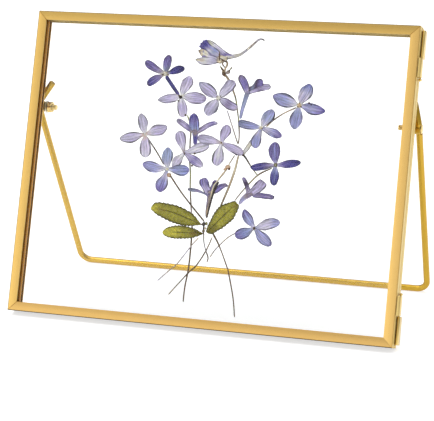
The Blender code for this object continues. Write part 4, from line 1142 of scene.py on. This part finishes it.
# Flowers pressed from the side. Each petal: its two edges from root to tip, tones, rim, rim
# strengths, streak, lift. Then the tube: path, widths, tones, tones of its rims
SIDE_VIEWS = {
    "floret_4": (1, [
        ([(15, 122.6), (18, 124), (19.8, 125.1), (21.5, 126), (23.2, 126.3), (25, 126.5), (26.4, 126.4),
          (27.4, 125.5)],
         [(15.4, 121), (18.5, 122.1), (20.8, 122.7), (23.2, 123.4), (25.6, 124), (26.9, 124.6),
          (27.3, 125.1), (27.4, 125.4)], "pale lilac mauve lilac pale", "purple", (0.4, 0.9), None, 0),
        ([(14.3, 121.6), (12.9, 123.7), (11.6, 125.9), (10.4, 127.7), (10, 129.4), (10.6, 130.8)],
         [(15.9, 123.2), (15.7, 124.9), (14.9, 126.9), (13.8, 128.7), (12.4, 130.1), (10.7, 130.8)],
         "pink violet violet mauve plum", "plum", (0.9, 1), "violet", 0.1),
        ([(15.9, 124.4), (17.3, 125.1), (18.3, 126.2), (19, 127.6), (19.8, 128.5), (20.9, 128.9),
          (21.9, 128.8), (22.7, 128.3), (23.3, 127)],
         [(16.2, 122.8), (17.5, 123.4), (18.9, 124.1), (19.9, 124.7), (20.5, 125.3), (21.4, 125.6),
          (22.2, 125.8), (22.9, 126), (23.4, 126.3)], "plum steel plum violet purple", "plum", (0.9, 0.2),
         None, 0.2)],
        ([(15.9, 123.6), (15.5, 121.9), (14.9, 120), (14, 115.8), (13.3, 112), (12.9, 108.2)],
         (2.3, 2.6, 2.3, 2, 1.8, 1.4), "taupe steel bluegrey peri steel", ("steel", "steel"))),
    "floret_9": (2, [
        ([(-11.8, 100.6), (-14, 102.9), (-16.4, 104.6), (-18.7, 105.8), (-20.4, 106.1), (-21.2, 105.4)],
         [(-12.2, 99.6), (-14, 100.5), (-16.3, 101.7), (-18.7, 103.2), (-20.5, 104.4), (-21.2, 105.2)],
         "taupe purple lilac mauve greylilac", "purple", (0.6, 0.5), "lilac", 0),
        ([(-12.5, 100.6), (-13.8, 103.7), (-13.9, 106.4), (-13.6, 108.2), (-12.2, 109.6)],
         [(-8.9, 100.8), (-8.8, 103.5), (-9.3, 106.1), (-10.4, 108.4), (-12, 109.6)],
         "bluegrey blue violet indigo violet", "purple", (0.3, 0.8), "violet", 0.1),
        ([(-10.6, 100.2), (-7.6, 102.4), (-5.3, 104.1), (-2.9, 105.3), (-0.7, 105.8), (1.1, 105.2)],
         [(-9.9, 98.9), (-6.2, 101), (-3.9, 102.6), (-1.6, 103.9), (0.2, 104.6), (1.1, 105)],
         "taupe mauve lilac violet greylilac", "purple", (0.5, 0.5), "lilac", 0)],
        ([(-10.6, 101), (-10.3, 98.5), (-10, 96), (-9.9, 93.5)], (3.9, 2.9, 2.4, 2.1),
         "taupe taupe indigo indigo purple", ("purple", "purple"))),
    "floret_13": (1, [
        ([(-0.9, 68.6), (-2.7, 69.2), (-4.5, 69.9), (-6.4, 70.5), (-8.5, 70.8), (-10.2, 70.8),
          (-11.6, 70.5)],
         [(-0.8, 67.7), (-2.2, 68.5), (-4.2, 69.1), (-6.3, 69.5), (-8.2, 69.5), (-10, 69.7), (-11.6, 70.2)],
         "purple steel mauve steel grey", "grey", (0.5, 0.5), None, 0),
        ([(0.7, 70.1), (0.8, 72.3), (1.5, 74), (1.7, 75.1), (2.5, 76)],
         [(2.7, 70.3), (3.5, 73), (4.2, 74.3), (4, 75.4), (2.7, 76)], "purple purple plum purple", "plum",
         (0.6, 0.5), None, 0),
        ([(3, 71), (4.3, 72.8), (5.6, 73.9), (7.1, 74.3), (8.3, 74.5), (9, 74.1), (9.8, 73.6)],
         [(2.6, 69.2), (4.5, 69.9), (5.7, 70.8), (7.2, 72.1), (8.4, 73), (9.4, 73.4), (9.8, 73.5)],
         "violet violet violet mauve plum", "purple", (0.6, 0.8), None, 0.05),
        ([(-1.9, 69), (-3.2, 70.9), (-4.4, 72.4), (-5.2, 73.5), (-5.4, 74.8), (-4.9, 75.9), (-2.9, 76.9)],
         [(0.8, 69.2), (0.4, 71.1), (-0.3, 73), (-0.8, 74.5), (-1.3, 75.6), (-2, 76.3), (-2.7, 76.9)],
         "lilac lilac violet violet mauve", "purple", (0.9, 0.6), "lilac", 0.12)],
        ([(0.8, 70.2), (0.7, 67), (0.4, 63.2), (0, 59.5), (0.1, 56.4)], (3.4, 2.9, 2.5, 1.9, 1.2),
         "mauve taupe taupe sand dark", ("dark", "purple"))),
    "floret_14": (1, [
        ([(23.7, 70.4), (25.7, 70.9), (27.7, 70.9), (29.7, 70.7), (31.7, 70.7), (33.3, 70.3), (34.7, 69.7)],
         [(23.5, 69), (25.9, 68.8), (27.9, 68.8), (29.9, 68.6), (31.9, 68.6), (33.6, 68.6), (34.7, 69.3)],
         "violet mauve purple mauve purple", "indigo", (0.9, 0.9), "mauve", 0),
        ([(19.9, 70.8), (19.4, 73.1), (18.3, 75.3), (17.6, 76.7), (17.2, 77.8), (17.5, 78.5)],
         [(21.8, 71.9), (20.8, 73.8), (20.1, 75.4), (19.3, 76.8), (18.4, 77.9), (17.6, 78.5)],
         "pink mauve plum mauve purple", "plum", (0.8, 0.5), None, 0),
        ([(20.6, 71), (22.1, 72.6), (23.3, 74.2), (24.5, 75.9), (25.7, 77.2), (26.6, 77.8), (27.2, 77.9)],
         [(23.1, 69.3), (25, 70.7), (26.8, 71.6), (28.3, 72.9), (29.5, 74.4), (29.8, 75.6), (29.3, 76.5)],
         "pink lilac lilac lilac mauve", "purple", (1, 0.6), "lilac", 0.12)],
        ([(22.4, 70.6), (20.1, 69), (18.2, 67.3), (16.6, 64.6)], (3.4, 3, 2.3, 1.3),
         "mauve taupe peri lilac", ("lilac", "mauve"))),
}

# Where a side flower's petals join its tube: centre, radius, tones
JOINTS = {
    "floret_4": [((15.7, 121.9), 1, "greylilac mauve steel")],
    "floret_9": [((-10.7, 100.4), 1.4, "taupe mauve taupe mauve")],
    "floret_13": [((0.4, 69.6), 1.5, "peach taupe mauve purple")],
    "floret_14": [((22.4, 70.1), 1.3, "taupe mauve"), ((20.6, 69), 0.9, "taupe mauve")],
}

# The larkspur's stalk and bracts, and two dark strands by its throat: path, widths, tones,
# thickness, lift
LARKSPUR_STALKS = [
    ([(1.9, 137.9), (3, 136.4), (2.7, 134.9), (2.1, 133.6), (2, 132), (2.5, 130.4), (3.8, 128.9),
      (5, 127.2), (7.2, 123), (9.3, 118.4), (10.7, 112.8), (11.9, 107.4), (13, 100.1), (13, 95.3)],
     (1.1, 1, 1.1, 1.3, 0.9, 0.8, 0.7, 0.7, 0.8, 0.75, 0.7),
     "umber sand umber sand sand umber green umber green umber taupe umber", 0.24, 0),
    ([(1.7, 137.9), (0.6, 137), (0.4, 136), (1, 135.1), (1.9, 134.2)], (0.9, 0.8, 0.7, 0.8),
     "umber tan umber umber", 0.2, 0),
    ([(-1.7, 142.4), (-1.6, 140), (-1.2, 137.6)], (0.4, 0.7, 0.5), "umber brown dark", 0.14, 0.38),
    ([(-1.2, 138.9), (0.6, 137.9), (2.2, 136.9)], (0.4, 0.7, 0.5), "umber brown dark", 0.14, 0.38),
    ([(-0.8, 135.2), (0.2, 133.6), (2, 131.9)], (0.6, 1, 1.2), "green umber umber", 0.2, 0),
    ([(5.5, 134.6), (5.3, 134), (4.6, 133), (4, 132), (2.6, 131.2)], (1.2, 0.9, 0.4, 2.1, 1.9, 0.9),
     "umber green umber taupe umber", 0.22, 0.05),
    ([(0.7, 132.5), (1.5, 131.2), (2.9, 129.4)], (1.1, 2.3, 1.1), "sand umber brown sand", 0.24, 0.03)]

# Its spur: upper and lower edge, tones, rim, rim strengths, spots
SPUR = ([(-1.1, 140.3), (2.6, 141.5), (4.9, 141.1), (7, 141.5), (9.2, 142.1), (11.7, 143.9), (14.2, 146.2),
     (17.4, 149.1), (18.3, 149.8), (19.9, 150.2), (21.7, 149.5)],
    [(-0.9, 138.2), (1.9, 138.2), (4.5, 138.9), (7.2, 139.6), (9.8, 140.8), (12.4, 142.8), (14.9, 145.1),
     (17.7, 148), (18.6, 148.8), (20, 149.3), (21.6, 148.8)],
    "peach cream ash cream ash cream taupe ash ash", "taupe", (0.5, 0.9),
    [("violet", 0.16, -0.6, 0.12, 0.6, 0.8)])

# Its sepals and its ruffled throat: two edges from root to tip, tones, rim, rim strengths, lift,
# ripple, spots (tone, place along and across, radii along and across, amount)
SEPALS = [
    ([(4.9, 141.1), (3.2, 141.6), (-0.1, 143.5), (-2.7, 145.3), (-5.4, 147), (-7.4, 147.9), (-8.9, 147.9)],
     [(-0.6, 139.2), (-2, 140.6), (-3.3, 142.2), (-5.5, 143.7), (-7.3, 144.8), (-8.6, 146.1),
      (-8.9, 147.8)], "purple greylilac pale white ash", "grey", (0.9, 0.3), 0.06, 0.08,
     [("green", 0.85, 0, 0.2, 0.8, 0.5), ("violet", 0.05, -0.2, 0.16, 0.9, 0.7)]),
    ([(-2.1, 139.7), (-4.4, 140.2), (-6.7, 140.6), (-8.8, 142.6), (-11.1, 143.3), (-13.4, 142.4)],
     [(-2.5, 137.8), (-4.5, 138.8), (-6.5, 139), (-8.7, 139), (-11, 139.3), (-13.3, 142.1)],
     "ash greylilac pale cream straw umber", "mauve", (0.4, 0.9), 0.08, 0.08,
     [("violet", 0.62, 0.8, 0.12, 0.5, 0.9), ("violet", 0.74, -0.35, 0.04, 0.5, 0.8),
      ("purple", 0.84, 0.25, 0.035, 0.6, 0.7), ("white", 0.68, 0, 0.05, 0.6, 0.9),
      ("brown", 0.97, 0, 0.07, 1.2, 0.9)]),
    ([(-1.1, 140.3), (-2.5, 142.9), (-4.8, 144.4), (-7.2, 145.6), (-8.7, 147.2), (-9.6, 147.7),
      (-10.6, 147.5), (-11.6, 147)],
     [(-2.1, 138.9), (-4.3, 139.6), (-6.6, 140.3), (-8.8, 142.4), (-10.8, 143.3), (-11.6, 143.3),
      (-12.3, 144), (-12.7, 145.1)], "steel greylilac bluegrey pale violet indigo violet", "indigo",
     (0.5, 0.6), 0.16, 0.16,
     [("indigo", 0.8, -0.2, 0.16, 0.7, 0.9), ("blue", 0.42, -0.5, 0.3, 0.3, 0.8),
      ("white", 0.5, 0.35, 0.3, 0.14, 0.7), ("mauve", 0.3, 0.7, 0.25, 0.2, 0.7)]),
    ([(-1.9, 137.6), (-4.3, 138.7), (-6.5, 139), (-8.7, 139.1), (-10.6, 138.9), (-13.1, 138.3),
      (-14.3, 137.7)],
     [(-0.7, 136.4), (-2.4, 136.3), (-4.8, 135.6), (-7.5, 135.1), (-11.1, 135.3), (-13.2, 136.6),
      (-14.3, 137.5)], "grey greylilac pale white pale green", "purple", (0.4, 1), 0.2, 0.08,
     [("straw", 0.78, -0.2, 0.22, 0.6, 0.7), ("lime", 0.9, 0, 0.1, 0.5, 0.35)]),
    ([(-2.9, 139.4), (-0.9, 140.2), (1.2, 139.9), (2.8, 139.4)],
     [(-2.9, 136.6), (-0.9, 136.2), (1.2, 137), (2.8, 138.2)], "taupe straw cream straw", "umber",
     (0.3, 0.8), 0.22, 0.08, [("brown", 0.6, 0.45, 0.3, 0.3, 0.9), ("white", 0.45, -0.2, 0.2, 0.5, 0.6)])]

RUFFLES = ((-10.7, 147.3), (-11.9, 145.9), (-12.4, 144.6), (-9.6, 147.7))

# Loose stems: layer, widths, path, tones, tones of the left and right rims
STEMS = {
    "stem_main_left": (0, (0.8, 0.9, 1.1, 0.9, 0.9, 1.1, 1, 0.9, 0.8),
        [(-15.9, 108.5), (-14.4, 105.3), (-13.1, 99.7), (-12.9, 94.3), (-12.1, 84.8), (-11.2, 79.9),
         (-10.4, 71), (-8.5, 58.7), (-7.4, 51.7), (-7, 43), (-7, 33), (-7.2, 28.4), (-8.1, 20.2),
         (-8.2, 12.7)], "green umber grey green umber taupe umber umber brown umber", None),
    "stem_main_right": (0, (1, 1.4, 1.3, 1.1),
        [(13.7, 89.5), (12.4, 81.4), (10.2, 73.1), (8.6, 68.3), (6.7, 62.6)], "sand straw sand fawn umber",
        ("umber", "umber")),
    "stem_middle": (2, (0.5, 0.6, 1.1, 0.9, 1.2, 0.9, 0.4),
        [(11.9, 89.4), (9.6, 85.1), (8.6, 82.4), (4, 75.6), (1.8, 71), (0.7, 57.9)],
        "umber fawn straw sand straw cream straw taupe dark dark", ("dark", "fawn")),
    "stem_right": (0, (0.6, 1, 0.9, 0.7, 0.7),
        [(32, 84.2), (25.4, 80.5), (20.5, 75.2), (16.7, 70.3), (14, 66.3)],
        "deep umber fawn green umber umber", ("umber", "fawn")),
    "stem_upper": (1, (0.4, 0.6, 0.6), [(5.4, 112.2), (8, 106.3), (10.4, 100.8), (12.8, 95.3)],
        "grey taupe umber", None),
    "stem_translucent": (0, (2.2, 2.6, 2), [(20.3, 97.9), (17.8, 93.2), (15.4, 89.8)],
        "white cream white cream", ("umber", "umber")),
    "stem_dark": (1, (1, 1.1, 0.6, 0.5), [(12.4, 90), (16.3, 89.8), (21.5, 83.5), (24.9, 79.9)],
        "umber dark umber green", None),
    "tail_right": (1, (1.2, 0.7, 0.8, 0.8, 0.5),
        [(4.3, 48.7), (8.3, 42.6), (13.2, 32.8), (14.5, 29.6), (18.1, 17.3), (19.9, 7.5)],
        "umber umber brown umber umber", None),
    "tail_left": (1, (0.6, 0.8, 0.8, 0.6, 0.4),
        [(4.1, 47), (1.5, 40), (-2.9, 32), (-7.4, 27.1), (-16.4, 15.9)], "fawn umber umber umber fawn",
        None),
    "tail_hooked": (3, (1.1, 1, 0.7, 0.5, 0.6, 0.8, 0.6),
        [(-0.9, 54.6), (-0.8, 52), (-0.8, 49.8), (-0.4, 48.1), (0.1, 44), (1.5, 40), (3.1, 36.3),
         (2.7, 33.8)], "dark dark umber grey umber brown", None),
    "tail_thin": (1, (0.4, 0.5, 0.5, 0.4),
        [(-3.1, 46.1), (-6.4, 42), (-13.2, 32.1), (-17.5, 27.9), (-23, 22.4)], "sand ash fawn ash", None),
    "tail_pale": (0, (0.4, 0.5, 0.5), [(16.5, 50.2), (12.3, 47.4), (8.1, 43), (5.4, 39.6), (3.7, 36.5)],
        "grey fawn grey fawn", None),
}

# Knots and nodes on them: centre, radius, height, tones, lift, squash
KNOTS = {
    "tail_hooked": [((-0.9, 53.2), 0.9, 0.3, "umber dark dark", 0.02, 1.2),
        ((-0.7, 49.6), 0.8, 0.25, "green umber dark", 0.02, 1),
        ((0.5, 53.5), 0.7, 0.2, "umber green umber", 0, 1.3),
        ((0.1, 51), 0.6, 0.2, "cream sand umber", 0.04, 1)],
    "stem_dark": [((12.6, 90.1), 0.8, 0.22, "dark umber dark", 0.04, 1),
        ((16.1, 89.8), 0.65, 0.2, "dark umber", 0.04, 1)],
    "stem_middle": [((8.9, 83.1), 1.5, 0.25, "tan peach tan brown", 0.04, 0.7),
        ((7.6, 81.9), 1, 0.2, "peach tan umber", 0.1, 0.7),
        ((9.7, 82.2), 0.7, 0.2, "umber brown dark", 0.12, 1)],
}

# A dark strip of painted shade along the shaded side of stem_middle's lower part: path, widths, tones
STEM_SHADE_STRIP = ([(4.9, 75.3), (3.1, 71.5), (1.95, 67), (1.35, 63.2), (0.8, 59.8), (0.6, 57.8)],
    (0.6, 1.3, 1.2, 1, 0.9, 0.7), "dark dark dark dark")

# Leaves: layer, upper edge, midrib and lower edge from stalk to tip, tones, spots
LEAVES = {
    "leaf_upper_left": (1,
        [(-2.9, 53.2), (-4.5, 54.7), (-6.4, 56.5), (-8.6, 58), (-11.5, 59.4), (-14.4, 60.5), (-17.6, 61.3),
         (-20.8, 61.7), (-23.6, 62), (-26.4, 62.1), (-28.8, 61.6), (-30.5, 59.3)],
        [(-2.9, 53), (-5.4, 53.9), (-9.7, 55.3), (-14.7, 56.9), (-19.7, 58.2), (-25, 58.9), (-30.5, 59.2)],
        [(-2.8, 52.9), (-4.6, 52.6), (-8, 52.2), (-11.4, 52), (-14.9, 52.5), (-18.5, 53.3), (-21.7, 54.4),
         (-25, 55.8), (-26.9, 56.6), (-28.4, 57.5), (-29.9, 58.6), (-30.5, 59.1)],
        "moss olive olive olive olive lime",
        [("rust", 0.8, 0, 0.14, 0.5, 0.3), ("lime", 0.95, -0.3, 0.06, 0.6, 0.6)]),
    "leaf_lower_left": (1,
        [(-1.4, 48.4), (-2.8, 48.9), (-5.3, 49.9), (-8.5, 50.6), (-12, 51), (-15.5, 50.9), (-18.9, 50.1),
         (-21.2, 49.1), (-22.9, 47.5)],
        [(-1.4, 48.2), (-5, 48.3), (-10, 48.1), (-15, 47.9), (-22.9, 47.4)],
        [(-1.4, 48.1), (-2.4, 47.7), (-4.7, 46.8), (-8, 45.9), (-11.4, 45.4), (-15.6, 45.1), (-19, 45.4),
         (-21.6, 46.1), (-22.9, 47.3)],
        "deep moss olive olive lime lime lime",
        [("rust", 0.25, 0.2, 0.14, 0.5, 0.4), ("lime", 0.85, 0, 0.2, 0.6, 0.8)]),
    "leaf_right": (2,
        [(0.8, 49.2), (1.4, 51.8), (2.8, 55.2), (4.2, 58.6), (5.9, 61.3), (7.2, 62.7), (9.1, 63.8),
         (11.7, 64.8), (14.3, 65.9), (15.2, 65.6)],
        [(1, 49), (5, 53.7), (8.1, 57.2), (11.1, 60.4), (15.6, 65.1)],
        [(1.2, 48.8), (4, 48.7), (5.7, 50.2), (8.6, 52), (11.4, 54.5), (13.9, 57), (15, 59.4), (16.1, 62),
         (16.5, 64), (15.9, 64.9)],
        "moss moss olive olive olive olive moss",
        [("rust", 0.9, 0.1, 0.05, 0.4, 0.5)]),
}

# The ends of their stalks
PETIOLES = {
    "leaf_upper_left": [(-3.6, 53.1), (-2, 52.9), (-1, 52.4)],
    "leaf_lower_left": [(-2.2, 48.2), (-1.4, 48.3), (-0.6, 48.9)],
    "leaf_right": [(1.8, 50), (1, 49.6), (0.4, 49.9)],
}


def star_flower(name, layer, centre, throat, petals, material):
    """An open flower, seen from the front, with its stalk and the small parts in its throat."""
    plant = Plant(layer)
    centre = Vector(centre)
    if name in STALKS:
        path, widths, tones, rims = STALKS[name]
        plant.tube(path, widths, tones, thick=0.26, edges=rims, lift=-0.02)
    for k, (angle, length, left, right, tones, rim, rims, middle) in enumerate(petals):
        seed = centre.x + 3.1 * k
        rows = ruled(*star_sides(centre, angle, length, left, right), 38, 22)
        plant.sheet(rows, petal_tint(tones, seed, rim, rims, middle), petal_relief(seed),
                    lift=0.03 * k)
    radius, tones = throat
    plant.button(centre, 0.75 * radius, 0.3, tones, lift=0.08)
    for spot, size, tones in BITS.get(name, ()):
        plant.button(spot, size, 0.2, tones, lift=0.3, sides=14)
    plant.done(name, material)


def side_flower(name, layer, petals, tube, material):
    """A flower pressed from the side: its tube, its petals and where they join."""
    plant = Plant(layer)
    path, widths, tones, rims = tube
    plant.tube(path, widths, tones, thick=0.3, edges=rims, lift=0.02, sides=16)
    for k, (side_a, side_b, tones, rim, strengths, middle, lift) in enumerate(petals):
        seed = side_a[0][0] + 2.3 * k
        plant.sheet(ruled(side_a, side_b, 32, 20, grow=0.34),
                    petal_tint(tones, seed, rim, strengths, middle), petal_relief(seed),
                    lift=lift + 0.04)
    for spot, size, tones in JOINTS[name]:
        plant.button(spot, size, 0.22, tones, lift=0.16, squash=0.8)
    plant.done(name, material)


def larkspur(material):
    """The larkspur: stalk and bracts, spur, upper and lower sepals, and a ruffled blue throat."""
    plant = Plant(0)
    for path, widths, tones, thick, lift in LARKSPUR_STALKS:
        plant.tube(path, widths, tones, thick=thick, lift=lift)
    side_a, side_b, tones, rim, rims, spots = SPUR
    plant.sheet(ruled(side_a, side_b, 60, 10), petal_tint(tones, 3.0, rim, rims, None, spots),
                petal_relief(3.0, cup=-0.16, crease=0.0), thickness=0.2, lift=0.02)
    for k, (side_a, side_b, tones, rim, rims, lift, ripple, spots) in enumerate(SEPALS):
        seed = k * 1.7
        plant.sheet(ruled(side_a, side_b, 36, 24, grow=0.12),
                    petal_tint(tones, seed, rim, rims, None, spots),
                    petal_relief(seed, ripple=ripple), lift=lift)
    for spot in RUFFLES:
        plant.button(spot, 0.75, 0.12, "violet indigo violet", lift=0.2, squash=0.8)
    plant.done("larkspur", material)


def leaf(name, layer, side_a, middle, side_b, tones, spots, material):
    """A serrated leaf with its side veins and the end of its stalk."""
    plant = Plant(layer)
    nu, nv = 84, 20
    teeth_count, tooth, vein_turns, vein_slant = 13.0, 0.6, 24, 2.2
    rows = ruled(side_a, side_b, nu, nv, middle, grow=0.3)
    names = tones.split()
    seed = side_a[0][0]

    def teeth(u, j):
        """How far the margin stands out: a saw with its teeth towards the tip."""
        phase = (u * teeth_count + 0.3 * noise_at(u * 9, j, seed)) % 1.0
        return (phase if phase < 0.75 else 3 * (1 - phase)) * tooth

    for i, row in enumerate(rows):
        u = i / nu
        fade = min(1.0, u * 6, (1 - u) * 5 + 0.1)
        for j in (0, 1, nv - 1, nv):
            share = 1.0 if j in (0, nv) else 0.5
            outward = row[j] - row[3 if j < nv / 2 else nv - 3]
            if outward.length > 0.05:
                row[j] = row[j] + outward.normalized() * teeth(u, j) * share * fade

    def side_veins(u, v):
        return cos((u * vein_turns - abs(v) * vein_slant) * pi)

    def relief(u, v, spot):
        return (-0.13 * max(0.0, 1 - abs(v) * 9) + 0.1 * abs(v) ** 2
                + 0.035 * side_veins(u, v) * (1 - abs(v)) + 0.02 * abs(v)
                + 0.07 * noise_at(spot.x * 0.4, spot.y * 0.4, seed))

    def tint(u, v, spot):
        tone = along_stops(names, u + 0.12 * noise_at(spot.x * 0.45, spot.y * 0.45, seed))
        rib = min(1.0, 1.4 * max(0.0, 1 - abs(v) / 0.11)) * min(1.0, (1 - u) * 3.0)
        tone = tone.lerp(TONES["deep"] * 0.28, 0.95 * rib)
        blotch = noise_at(spot.x * 0.9, spot.y * 0.9, seed + 4)
        tone = tone * (1.16 - 0.42 * v * v + 0.06 * side_veins(u, v) + 0.5 * blotch)
        rim = max(0.0, (abs(v) - 0.8) / 0.1)
        tone = tone.lerp(TONES["moss"] * 0.4, 0.9 * min(1.0, rim))
        return spotted(tone, spots, u, v, 1.6)

    plant.sheet(rows, tint, relief, thickness=0.2, places=lambda u, v: (v * 3.0, u * 30.0))
    plant.tube(PETIOLES[name], (0.9, 0.6), "rust umber dark", thick=0.22)
    plant.done(name, material)


# A loose stem is a little thinner than STEMS says, down to the thinnest that shows as a line
STEM_SHARE, THINNEST = 0.9, 0.62


def loose_stem(name, layer, widths, path, tones, rims, material):
    """A loose stem with its knots, and with the strip of painted shade that lies along one of them."""
    plant = Plant(layer)
    widths = [max(THINNEST, STEM_SHARE * width) for width in widths]
    thick, sides = (0.16, 16) if name == "stem_translucent" else (0.24, 12)
    plant.tube(path, widths, tones, thick=thick, edges=rims, sides=sides)
    for spot, radius, height, tones, lift, squash in KNOTS.get(name, ()):
        plant.button(spot, radius, height, tones, lift=lift, squash=squash)
    # stem_middle's shaded side: a dark strip of painted shade laid over it
    if name == "stem_middle":
        plant.tube(*STEM_SHADE_STRIP, thick=0.2, lift=0.05)
    plant.done(name, material)


# ---------------------------------------------------------------- the whole object

make_camera()
make_world()
make_floor()
make_light()

# The grain of a strip that lies across, and of one that stands upright
across, upright = (40.0, 2600.0, 2600.0), (2600.0, 2600.0, 40.0)
# The four sides are one brass in lit and shaded copies: each side painted lighter or darker by how the
# light falls, upper strips darkest, right strips lightest
faces = {"bottom": brass("brass, lower strips", (0.65, 0.42, 0.135), (0.59, 0.36, 0.112), across),
         "left": brass("brass, left strips", (0.71, 0.47, 0.14), (0.65, 0.41, 0.117), upright),
         "top": brass("brass, upper strips", (0.56, 0.375, 0.11), (0.51, 0.325, 0.09), across),
         "right": brass("brass, right strips", (0.76, 0.50, 0.16), (0.69, 0.435, 0.133), upright)}
strip_brass = (
    # The inside of each channel: painted shade in the recess, dark red-brown as the light bounced between
    # its brass walls
    brass("brass, inside painted with shade", (0.52, 0.215, 0.012), (0.36, 0.135, 0.008), 700.0, (0.35, 0.5), 0.4),
    # The hems deep in the channels: a bright orange painted in, as the light bounced between the brass
    # walls
    brass("brass, hem painted with bounced light", (0.98, 0.52, 0.12), (0.84, 0.40, 0.07), 900.0, (0.3, 0.45)),
    # The bends along the outer edges of the left and upper strips: painted shade and dark reflection
    brass("brass, fold painted with shade", (0.24, 0.19, 0.10), (0.18, 0.14, 0.07), 900.0, (0.4, 0.6), 0.0),
    # The underside of the lower strips: painted shade, nearly black, under the frame where it stands on the
    # floor
    brass("brass, underside painted with shade", (0.10, 0.07, 0.03), (0.06, 0.04, 0.017),
          (300.0, 1200.0, 1200.0), (0.6, 0.8), 0.0),
    # The right strips' outer side: painted paler and yellower, as the light it reflects
    brass("brass, side painted with reflection", (0.86, 0.66, 0.22), (0.68, 0.50, 0.14), upright, (0.3, 0.5), 0.35),
    brass("brass, shaded lip", (0.80, 0.60, 0.22), (0.62, 0.45, 0.15), across, (0.4, 0.6), 0.35))
wire_brass = brass("brass wire", (0.62, 0.40, 0.056), (0.54, 0.325, 0.038), 1700.0, (0.28, 0.36),
                   specks=0.12)
small_brass = brass("brass fittings", (0.88, 0.67, 0.26), (0.74, 0.54, 0.19), 1500.0, (0.22, 0.4))
steel = brass("steel washer", (0.86, 0.84, 0.78), (0.68, 0.66, 0.60), 1700.0, (0.25, 0.45))
glass = clear_glass()
stem_skin, leaf_skin = stem_material(), leaf_material()
petal_skins = {"petal_violet": petal_material("dried violet petal", 0.58, (0.55, 0.8)),
               "petal_blue": petal_material("dried blue petal", 0.42, (0.55, 0.8)),
               "petal_lilac": petal_material("dried lilac petal", 0.36, (0.6, 0.85)),
               "petal_pale": petal_material("dried larkspur", 0.3, (0.6, 0.85))}

for half in ("rear", "front"):
    for side, lit_or_shaded_brass in faces.items():
        strip(half, side, (lit_or_shaded_brass, *strip_brass))
pane("rear_pane", "rear_half", REAR_PANE, glass)
pane("front_pane", "front_half", FRONT_PANE, glass)
hinges(small_brass)
stand(wire_brass)
for sign, label in ((-1, "left"), (1, "right")):
    lug(sign, label, small_brass)
    washer(sign, label, steel)
    nut(sign, label, small_brass)
    screw(sign, label, small_brass)

slot_of = {f"floret_{n}": slot for slot, numbers in SLOTS.items() for n in numbers}
for name, (layer, centre, throat, petals) in STARS.items():
    star_flower(name, layer, centre, throat, petals, petal_skins[slot_of[name]])
for name, (layer, petals, tube) in SIDE_VIEWS.items():
    side_flower(name, layer, petals, tube, petal_skins[slot_of[name]])
larkspur(petal_skins["petal_pale"])
for name, (layer, side_a, middle, side_b, tones, spots) in LEAVES.items():
    leaf(name, layer, side_a, middle, side_b, tones, spots, leaf_skin)
for name, (layer, widths, path, tones, rims) in STEMS.items():
    loose_stem(name, layer, widths, path, tones, rims, stem_skin)
